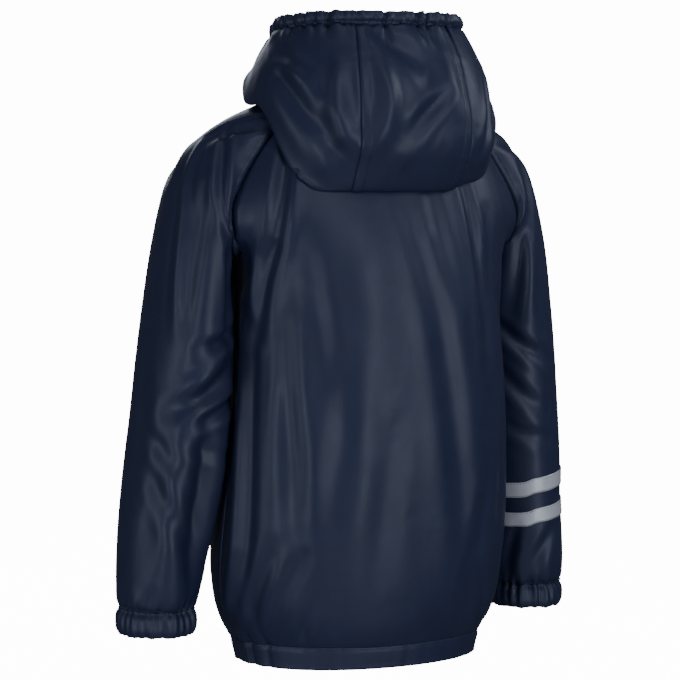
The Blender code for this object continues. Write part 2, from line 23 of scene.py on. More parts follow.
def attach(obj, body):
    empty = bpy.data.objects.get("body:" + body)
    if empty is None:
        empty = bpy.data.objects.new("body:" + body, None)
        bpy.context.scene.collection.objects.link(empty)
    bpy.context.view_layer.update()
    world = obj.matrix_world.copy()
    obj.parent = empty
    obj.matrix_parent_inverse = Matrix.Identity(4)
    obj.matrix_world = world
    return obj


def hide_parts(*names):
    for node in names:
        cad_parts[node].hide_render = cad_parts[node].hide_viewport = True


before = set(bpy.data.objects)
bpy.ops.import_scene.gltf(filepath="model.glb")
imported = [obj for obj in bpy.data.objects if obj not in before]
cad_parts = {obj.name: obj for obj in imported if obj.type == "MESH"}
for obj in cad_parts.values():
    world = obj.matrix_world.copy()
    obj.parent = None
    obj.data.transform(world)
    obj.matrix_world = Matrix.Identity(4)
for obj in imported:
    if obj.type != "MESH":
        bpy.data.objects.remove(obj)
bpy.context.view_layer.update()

scene = bpy.context.scene

# %% [markdown]
# ## Sizes
# The sections are the coat's own: widths and depths of the body, the sleeves and the hood, in
# metres and degrees, with height 0 at the neck. They are the tables of the part's source, but
# for the cuff's lowest ring, which is 0.5 mm slimmer. Each is read by smooth blending.

# %% Sizes of the coat
CLOTH = 0.0014            # coated cloth, one layer
CASING = 0.0026           # turned casing
ZIP_GAP = 0.0070          # between the two front edges
HEM_EDGE = -0.562
HEM_TOP = -0.540
UNDERARM = -0.165
CUFF_EDGE = -0.531
CUFF_TOP = -0.506
FINE = 0.0012             # spacing of the grid beside a seam, and how many such steps
FINE_STEPS = 9

Section = namedtuple("Section", "z width back front centre square tilt")
TORSO = (
    Section(HEM_EDGE, 0.123, 0.083, 0.081, 0.004, 2.3, -0.004),
    Section(HEM_TOP, 0.128, 0.087, 0.084, 0.004, 2.3, -0.004),
    Section(-0.510, 0.145, 0.098, 0.093, 0.006, 2.4, -0.003),
    Section(-0.460, 0.150, 0.104, 0.097, 0.010, 2.5, 0.000),
    Section(-0.400, 0.147, 0.107, 0.098, 0.014, 2.7, 0.000),
    Section(-0.320, 0.141, 0.109, 0.098, 0.017, 2.8, 0.000),
    Section(-0.250, 0.137, 0.110, 0.098, 0.018, 2.8, 0.000),
    Section(-0.205, 0.1335, 0.1150, 0.093, 0.011, 2.7, 0.000),
    Section(-0.185, 0.1340, 0.1165, 0.091, 0.008, 2.65, 0.000),
    Section(-0.165, 0.139, 0.116, 0.091, 0.006, 2.6, 0.000),
    Section(-0.157, 0.149, 0.115, 0.092, 0.006, 2.55, 0.000),
    Section(-0.145, 0.159, 0.113, 0.093, 0.006, 2.5, 0.000),
    Section(-0.125, 0.165, 0.105, 0.097, 0.010, 2.4, 0.000),
    Section(-0.100, 0.158, 0.100, 0.095, 0.008, 2.4, 0.002),
    Section(-0.070, 0.140, 0.092, 0.091, 0.006, 2.4, 0.004),
    Section(-0.045, 0.121, 0.084, 0.085, 0.004, 2.4, 0.006),
    Section(-0.020, 0.096, 0.075, 0.076, 0.002, 2.3, 0.008),
    Section(0.000, 0.071, 0.065, 0.064, 0.000, 2.2, 0.010),
)
Raglan = namedtuple("Raglan", "z seam top_x top_z axis_y depth wrap form")
RAGLAN = (
    Raglan(UNDERARM, 0.139, 0.1985, -0.1200, -0.006, 0.0610, 180.0, 1.0),
    Raglan(-0.157, 0.147, 0.1975, -0.1120, -0.006, 0.0610, 158.0, 1.0),
    Raglan(-0.145, 0.154, 0.1960, -0.1020, -0.006, 0.0610, 142.0, 1.0),
    Raglan(-0.125, 0.157, 0.1900, -0.0830, -0.006, 0.0600, 124.0, 1.0),
    Raglan(-0.100, 0.148, 0.1780, -0.0640, -0.002, 0.0555, 110.0, 1.0),
    Raglan(-0.070, 0.129, 0.1570, -0.0415, 0.002, 0.0510, 100.0, 1.0),
    Raglan(-0.045, 0.108, 0.1300, -0.0235, 0.003, 0.0485, 94.0, 0.9),
    Raglan(-0.020, 0.082, 0.1010, -0.0090, 0.002, 0.0460, 90.0, 0.6),
    Raglan(0.000, 0.056, 0.0710, 0.0000, 0.000, 0.0440, 90.0, 0.0),
)
Ring = namedtuple("Ring", "z x y width depth tilt lean")
SLEEVE = (
    Ring(UNDERARM, 0.1735, -0.004, 0.0370, 0.0605, 24.0, 0.0),
    Ring(-0.195, 0.1765, -0.006, 0.0375, 0.0610, 14.0, 0.0),
    Ring(-0.225, 0.1795, -0.008, 0.0385, 0.0610, 8.0, 0.0),
    Ring(-0.265, 0.1830, -0.009, 0.0405, 0.0600, 6.0, 1.0),
    Ring(-0.310, 0.1870, -0.009, 0.0420, 0.0590, 7.0, 3.0),
    Ring(-0.350, 0.1915, -0.010, 0.0430, 0.0570, 7.0, 5.0),
    Ring(-0.390, 0.1965, -0.011, 0.0425, 0.0540, 8.0, 6.0),
    Ring(-0.430, 0.2020, -0.012, 0.0415, 0.0510, 7.0, 6.0),
    Ring(-0.470, 0.2060, -0.014, 0.0400, 0.0490, 5.0, 5.0),
    Ring(-0.492, 0.2085, -0.015, 0.0385, 0.0460, 2.0, 3.0),
    Ring(CUFF_TOP, 0.2095, -0.016, 0.0345, 0.0390, 1.0, 1.0),
)
CUFF = (
    Ring(CUFF_EDGE, 0.2100, -0.016, 0.0345, 0.0390, 0.0, 0.0),
    Ring(-0.524, 0.2098, -0.016, 0.0365, 0.0410, 0.0, 0.0),
    Ring(-0.514, 0.2097, -0.016, 0.0365, 0.0410, 0.0, 0.0),
    Ring(CUFF_TOP, 0.2095, -0.016, 0.0345, 0.0390, 1.0, 1.0),
)
Hoop = namedtuple("Hoop", "width back front centre square seam z_back z_side z_front reach")
HOOD = (
    Hoop(0.0710, 0.0650, 0.0640, 0.000, 2.2, 0.036, 0.0106, 0.0006, -0.0094, 0.0),
    Hoop(0.0850, 0.0800, 0.0675, 0.004, 2.3, 0.044, -0.002, 0.0010, -0.0050, 1.0),
    Hoop(0.0985, 0.0895, 0.0750, 0.012, 2.4, 0.050, -0.032, -0.0030, -0.0010, 0.9),
    Hoop(0.1090, 0.0945, 0.0825, 0.020, 2.5, 0.054, -0.062, -0.0065, 0.0020, 0.9),
    Hoop(0.1160, 0.0985, 0.0860, 0.024, 2.6, 0.056, -0.090, -0.0090, 0.0050, 0.9),
    Hoop(0.1205, 0.1030, 0.0875, 0.026, 2.6, 0.057, -0.103, -0.0095, 0.0080, 0.85),
    Hoop(0.1225, 0.1095, 0.0880, 0.027, 2.6, 0.058, -0.092, -0.0050, 0.0110, 0.85),
    Hoop(0.1220, 0.1130, 0.0885, 0.028, 2.6, 0.059, -0.066, 0.0025, 0.0130, 0.85),
    Hoop(0.1185, 0.1140, 0.0880, 0.028, 2.6, 0.060, -0.034, 0.0120, 0.0150, 0.85),
    Hoop(0.1120, 0.1100, 0.0885, 0.029, 2.5, 0.059, -0.004, 0.0235, 0.0170, 0.85),
    Hoop(0.1045, 0.0990, 0.0890, 0.030, 2.5, 0.056, 0.024, 0.0360, 0.0190, 0.85),
    Hoop(0.0960, 0.0860, 0.0895, 0.031, 2.4, 0.052, 0.046, 0.0490, 0.0210, 0.85),
    Hoop(0.0905, 0.0760, 0.0900, 0.032, 2.3, 0.049, 0.0580, 0.0560, 0.0240, 0.85),
)
RIM = (
    Hoop(0.0905, 0.0760, 0.0900, 0.032, 2.3, 0.049, 0.0580, 0.0560, 0.0240, 0.85),
    Hoop(0.0910, 0.0765, 0.0905, 0.032, 2.3, 0.049, 0.0630, 0.0610, 0.0285, 0.85),
    Hoop(0.0895, 0.0750, 0.0900, 0.032, 2.3, 0.049, 0.0700, 0.0680, 0.0350, 0.85),
)
print(len(TORSO), "body sections,", len(SLEEVE), "sleeve rings,", len(HOOD), "hood hoops")


# %% [markdown]
# ## The form
# A pattern cutter would drape these panels on a stand. Here the stand is a set of curves: a
# rounded section at any height of the body, a ring at any place along a sleeve and a hoop at any
# place up the hood. Each curve is laid out by its real length, so that a place on the cloth is
# given in metres along it, as on the pattern.

# %% Reading the tables
def hermite(share):
    """Weights of a start, its slope, an end and its slope, for a smooth curve between them."""
    return ((1 + 2 * share) * (1 - share) ** 2, share * (1 - share) ** 2,
            share * share * (3 - 2 * share), share * share * (share - 1))


def blend_at(rows, index, share, places):
    """One smoothly interpolated row, `share` of the way from row `index` to the next."""
    last = len(rows) - 1
    start, end = rows[index], rows[index + 1]
    before, after = rows[max(index - 1, 0)], rows[min(index + 2, last)]
    first, final = places[max(index - 1, 0)], places[min(index + 2, last)]
    span = places[index + 1] - places[index]
    h00, h10, h01, h11 = hermite(share)
    columns = []
    for a, b, c, d in zip(before, start, end, after):
        slope_in = (c - a) / (places[index + 1] - first) if (c - b) * (b - a) > 0.0 else 0.0
        slope_out = (d - b) / (final - places[index]) if (d - c) * (c - b) > 0.0 else 0.0
        columns.append(h00 * b + h10 * span * slope_in + h01 * c + h11 * span * slope_out)
    return type(start)(*columns)


def blend(rows, z):
    """The row at height z of a table whose z rises or falls steadily."""
    places = [row.z for row in rows]
    sign = 1.0 if places[-1] > places[0] else -1.0
    index = 0
    while index < len(rows) - 2 and sign * (z - places[index + 1]) > 0.0:
        index += 1
    span = places[index + 1] - places[index]
    return blend_at(rows, index, (z - places[index]) / span, places)


def hoop_at(rows, place):
    """The hoop at a place counted in rows of the table, such as 2.5."""
    index = min(int(place), len(rows) - 2)
    return blend_at(rows, index, place - index, range(len(rows)))


def smooth_step(value):
    value = np.clip(value, 0.0, 1.0)
    return value * value * (3.0 - 2.0 * value)


# %% Curves of the form
def oval(section, turns):
    """Level points of a rounded section; turns in degrees: 0 front, 90 wearer's left, 180 back."""
    power = 2.0 / section.square
    sine, cosine = np.sin(np.radians(turns)), np.cos(np.radians(turns))
    across = np.sign(sine) * np.abs(sine) ** power
    along = np.sign(cosine) * np.abs(cosine) ** power
    depth = np.where(along > 0.0, section.front, section.back)
    return section.width * across, section.centre - depth * along, -along


def torso_curve(z, turns):
    section = blend(TORSO, z)
    x, y, back_share = oval(section, turns)
    return np.stack([x, y, z + section.tilt * back_share], axis=-1)


def width_turn(section, half_width):
    """Angle from the front centre at which a section is half_width wide of the middle."""
    share = min(half_width / section.width, 1.0)
    return math.degrees(math.asin(share ** (section.square / 2.0)))


def side_turn(z):
    """Angle of the side seam, or above the underarm of the raglan seam."""
    if z <= UNDERARM:
        return 90.0
    return width_turn(blend(TORSO, z), blend(RAGLAN, z).seam)


def raglan_curve(z, shares):
    """The sleeve over the shoulder, from its front seam (share 0) to its back one (share 1)."""
    row, seam = blend(RAGLAN, z), side_turn(z)
    front, back = torso_curve(z, np.array([seam, 180.0 - seam]))
    foot = np.array([row.seam, row.axis_y, (front[2] + back[2]) / 2])
    top = np.array([row.top_x, row.axis_y, row.top_z])
    rise = (top - foot) / np.linalg.norm(top - foot)
    wrap = math.radians(row.wrap)
    radius = np.linalg.norm(top - foot) / (1.0 - math.cos(wrap))
    centre = top - rise * radius
    across = (2.0 * shares - 1.0)[:, None]
    side = np.where(across < 0.0, -1.0, 1.0)
    angle = wrap * np.abs(across)
    reach = np.array([0.0, row.depth, 0.0]) * side
    point = centre + rise * radius * np.cos(angle) + reach * np.sin(angle)
    last = centre + rise * radius * math.cos(wrap) + reach * math.sin(wrap)
    ends = np.where(side < 0.0, front, back)
    point = point + (ends - last) * smooth_step(np.abs(across)) * np.abs(across)
    flat = torso_curve(z, seam + (180.0 - 2.0 * seam) * shares)
    return flat + (point - flat) * row.form


def ring_curve(row, shares):
    """A hanging ring of the sleeve, from the underarm line forwards and round to it again."""
    tilt, lean = math.radians(row.tilt), math.radians(row.lean)
    out = np.array([math.cos(tilt), 0.0, math.sin(tilt)])
    back = np.array([0.0, math.cos(lean), -math.sin(lean)])
    angle = (2.0 * math.pi * shares)[:, None]
    centre = np.array([row.x, row.y, row.z])
    return centre - out * row.width * np.cos(angle) - back * row.depth * np.sin(angle)


def hood_curve(hoop, turns):
    x, y, back_share = oval(hoop, turns)
    weight = np.abs(back_share)
    if hoop.reach > 0.02:
        weight = np.where(back_share > 0.0, smooth_step(weight / hoop.reach), weight ** 1.7)
    end = np.where(back_share > 0.0, hoop.z_back, hoop.z_front)
    return np.stack([x, y, hoop.z_side + (end - hoop.z_side) * weight], axis=-1)


def lengths(curve):
    """Length along a curve at each of its points."""
    steps = np.linalg.norm(np.diff(curve, axis=0), axis=1)
    return np.concatenate([[0.0], np.cumsum(steps)])


def read_along(run, values, places):
    """Values that go with the points of a line, read at the given lengths along it."""
    return np.stack([np.interp(places, run, values[:, axis]) for axis in range(3)], axis=-1)


def along_curve(curve, places):
    """Points of a curve at the given lengths along it."""
    return read_along(lengths(curve), curve, places)


print("body girth at the chest:",
      round(lengths(torso_curve(-0.250, np.linspace(0.0, 360.0, 2001)))[-1], 3), "m")


# %% [markdown]
# ## Grids of the panels
# Each panel gets its rows and columns here. The grid is close beside every seam, where the cloth
# dips into the stitching, and wider in the open cloth. A panel remembers how far each point is
# from its edges and from its middle, in metres, which is what the creases below are placed by.

# %% Grids
class Panel:
    """One cut piece: its points, row by row, and how far along its row each point is."""

    def __init__(self, group, curves, columns):
        self.group = group
        points, places, totals = [], [], []
        for curve in curves:
            total = lengths(curve)[-1]
            steps = np.ones(columns)
            fine = np.zeros(columns, dtype=bool)
            fine[:FINE_STEPS] = True
            fine[columns - FINE_STEPS:] = True
            steps[fine] = FINE
            steps[~fine] = (total - FINE * fine.sum()) / (~fine).sum()
            place = np.concatenate([[0.0], np.cumsum(steps)])
            points.append(along_curve(curve, place))
            places.append(place)
            totals.append(total)
        self.points = np.array(points)
        self.start = np.array(places)
        self.end = np.array(totals)[:, None] - self.start
        self.finish()

    def finish(self):
        """Length up each column from the bottom row, and down from the top one."""
        steps = np.linalg.norm(np.diff(self.points, axis=0), axis=2)
        run = np.concatenate([np.zeros((1, steps.shape[1])), np.cumsum(steps, axis=0)])
        self.up = run
        self.down = run[-1][None, :] - run
        self.press = np.zeros(self.points.shape[:2])


def spread(start, end, step, fine_start=0, fine_end=0, fine=0.0015):
    """Values from start to end, close together at the ends that ask for it."""
    total = abs(end - start)
    middle = total - fine * (fine_start + fine_end)
    count = max(int(round(middle / step)), 1)
    steps = [fine] * fine_start + [middle / count] * count + [fine] * fine_end
    run = np.concatenate([[0.0], np.cumsum(steps)]) / total
    return start + (end - start) * run


HEM_ROWS = spread(HEM_EDGE, HEM_TOP, 0.0018)
LOW_ROWS = spread(HEM_TOP, UNDERARM, 0.0032, fine_start=8)
HIGH_ROWS = spread(UNDERARM, 0.0, 0.0028)
SLEEVE_ROWS = spread(CUFF_TOP, UNDERARM, 0.0030, fine_start=8)
JOIN_STEPS = 7            # rows that join the hanging sleeve to the shoulder
BODY_ROWS = np.concatenate([LOW_ROWS, HIGH_ROWS[1:]])
DENSE = np.linspace(0.0, 1.0, 1601)


MIRROR = np.array([-1.0, 1.0, 1.0])


def mirror_curves(curves):
    """The same curves on the wearer's other side, reversed so that they turn the same way."""
    return [curve[::-1] * MIRROR for curve in curves]


def back_curves(rows):
    return [torso_curve(z, 180.0 + side_turn(z) * (2.0 * DENSE - 1.0)) for z in rows]


def front_curves(rows, side):
    """From the zip edge to the side seam for the wearer's left, and mirrored for the right."""
    curves = []
    for z in rows:
        edge = width_turn(blend(TORSO, z), ZIP_GAP / 2)
        curve = torso_curve(z, edge + (side_turn(z) - edge) * DENSE)
        curves.append(curve)
    return curves if side > 0 else mirror_curves(curves)


def sleeve_curves():
    """Rings from the cuff up to the underarm and on over the shoulder to the neck."""
    low = [ring_curve(blend(SLEEVE, z), DENSE) for z in SLEEVE_ROWS]
    high = [raglan_curve(z, DENSE) for z in HIGH_ROWS]
    rise_in = (low[-1] - low[-4]) / 3.0 * 1.2 * JOIN_STEPS / 2.0
    rise_out = (high[3] - high[0]) / 3.0 * 1.2 * JOIN_STEPS / 2.0
    between = []
    for n in range(1, JOIN_STEPS):
        h00, h10, h01, h11 = hermite(n / JOIN_STEPS)
        between.append(h00 * low[-1] + h10 * rise_in + h01 * high[0] + h11 * rise_out)
    return low + between + high


def up_the_back(places):
    """Length up the hood's centre back, from the neck to each of the given places."""
    line = [hood_curve(hoop_at(HOOD, place), np.array([180.0]))[0] for place in places]
    return lengths(np.array(line))


def hood_places():
    """Places up the hood that are evenly spaced along its centre back."""
    fine = np.linspace(0.0, len(HOOD) - 1.0, 1201)
    run = up_the_back(fine)
    return np.interp(spread(0.0, run[-1], 0.0027, fine_end=7), run, fine)


def hood_curves(rows, places, part):
    curves = []
    for place in places:
        hoop = hoop_at(rows, place)
        edge, seam = width_turn(hoop, ZIP_GAP / 2), 180.0 - width_turn(hoop, hoop.seam)
        start, end = {"left": (edge, seam), "centre": (seam, 360.0 - seam),
                      "right": (360.0 - seam, 360.0 - edge)}[part]
        curves.append(hood_curve(hoop, start + (end - start) * DENSE))
    return curves


HOOD_PLACES = hood_places()
RIM_PLACES = np.linspace(0.0, 2.0, 12)
panels = {}


def add_panel(name, group, curves, columns):
    panels[name] = Panel(group, curves, columns)


BACK_COLUMNS, FRONT_COLUMNS, SLEEVE_COLUMNS = 130, 66, 156
add_panel("back", "body", back_curves(BODY_ROWS), BACK_COLUMNS)
add_panel("front_left", "body", front_curves(BODY_ROWS, 1), FRONT_COLUMNS)
add_panel("front_right", "body", front_curves(BODY_ROWS, -1), FRONT_COLUMNS)
add_panel("hem_back", "body", back_curves(HEM_ROWS), BACK_COLUMNS)
add_panel("hem_left", "body", front_curves(HEM_ROWS, 1), FRONT_COLUMNS)
add_panel("hem_right", "body", front_curves(HEM_ROWS, -1), FRONT_COLUMNS)
cuff_rows = [ring_curve(blend(CUFF, z), DENSE) for z in spread(CUFF_EDGE, CUFF_TOP, 0.0019)]
add_panel("sleeve_left", "left", sleeve_curves(), SLEEVE_COLUMNS)
add_panel("cuff_left", "left", cuff_rows, SLEEVE_COLUMNS)
add_panel("sleeve_right", "right", mirror_curves(sleeve_curves()), SLEEVE_COLUMNS)
add_panel("cuff_right", "right", mirror_curves(cuff_rows), SLEEVE_COLUMNS)
for part, columns in (("left", 140), ("centre", 84), ("right", 140)):
    add_panel("hood_" + part, "hood", hood_curves(HOOD, HOOD_PLACES, part), columns)
    add_panel("rim_" + part, "hood", hood_curves(RIM, RIM_PLACES, part), columns)
print(len(panels), "grids,", sum(p.points[..., 0].size for p in panels.values()), "points")


# %% [markdown]
# ## Outward directions
# Neighbouring panels share the points of their seam. All of them are welded for a moment, to find
# one outward direction at each point, so that what is pressed into the cloth meets across a seam.

# %% Shared outward directions
def face_sums(points):
    """Sum of the face normals round every point of one grid."""
    one = points[1:, 1:] - points[:-1, :-1]
    two = points[1:, :-1] - points[:-1, 1:]
    face = np.cross(one, two)
    total = np.zeros_like(points)
    total[:-1, :-1] += face
    total[1:, :-1] += face
    total[:-1, 1:] += face
    total[1:, 1:] += face
    return total


def welded(names):
    """For the points of several grids, the number of the place that each shares with others."""
    every = np.concatenate([panels[name].points.reshape(-1, 3) for name in names])
    _, place = np.unique(np.round(every * 1e6).astype(np.int64), axis=0, return_inverse=True)
    return place.reshape(-1)


def shared(names, place, values):
    """Each grid's values, summed over the points that are welded."""
    flat = np.concatenate([value.reshape(-1, value.shape[-1]) for value in values])
    total = np.zeros((place.max() + 1, flat.shape[1]))
    np.add.at(total, place, flat)
    total = total[place]
    result, start = {}, 0
    for name in names:
        rows, columns = panels[name].points.shape[:2]
        result[name] = total[start:start + rows * columns].reshape(rows, columns, -1)
        start += rows * columns
    return result


def relax(panel, passes=60):
    """Even out the form up and down a panel, away from its seams, so that no section shows."""
    edge = np.minimum(panel.start, panel.end)
    share = (smooth_step((edge - 0.004) / 0.035))[1:-1, :, None]
    share = share * smooth_step(np.minimum(panel.up, panel.down) / 0.05)[1:-1, :, None]
    for _ in range(passes):
        mean = (panel.points[:-2] + panel.points[2:]) / 2
        panel.points[1:-1] += share * 0.9 * (mean - panel.points[1:-1])


for name in ("back", "front_left", "front_right", "sleeve_left", "sleeve_right"):
    relax(panels[name])

CLOTH_GRIDS = [name for name, panel in panels.items() if panel.group != "hood"]
HOOD_GRIDS = [name for name, panel in panels.items() if panel.group == "hood"]
for names in (CLOTH_GRIDS, HOOD_GRIDS):
    place = welded(names)
    sums = shared(names, place, [face_sums(panels[name].points) for name in names])
    for name in names:
        length = np.linalg.norm(sums[name], axis=2, keepdims=True)
        panels[name].outward = sums[name] / np.maximum(length, 1e-12)
        panels[name].form = panels[name].points.copy()
print("outward directions found for", len(CLOTH_GRIDS) + len(HOOD_GRIDS), "grids")
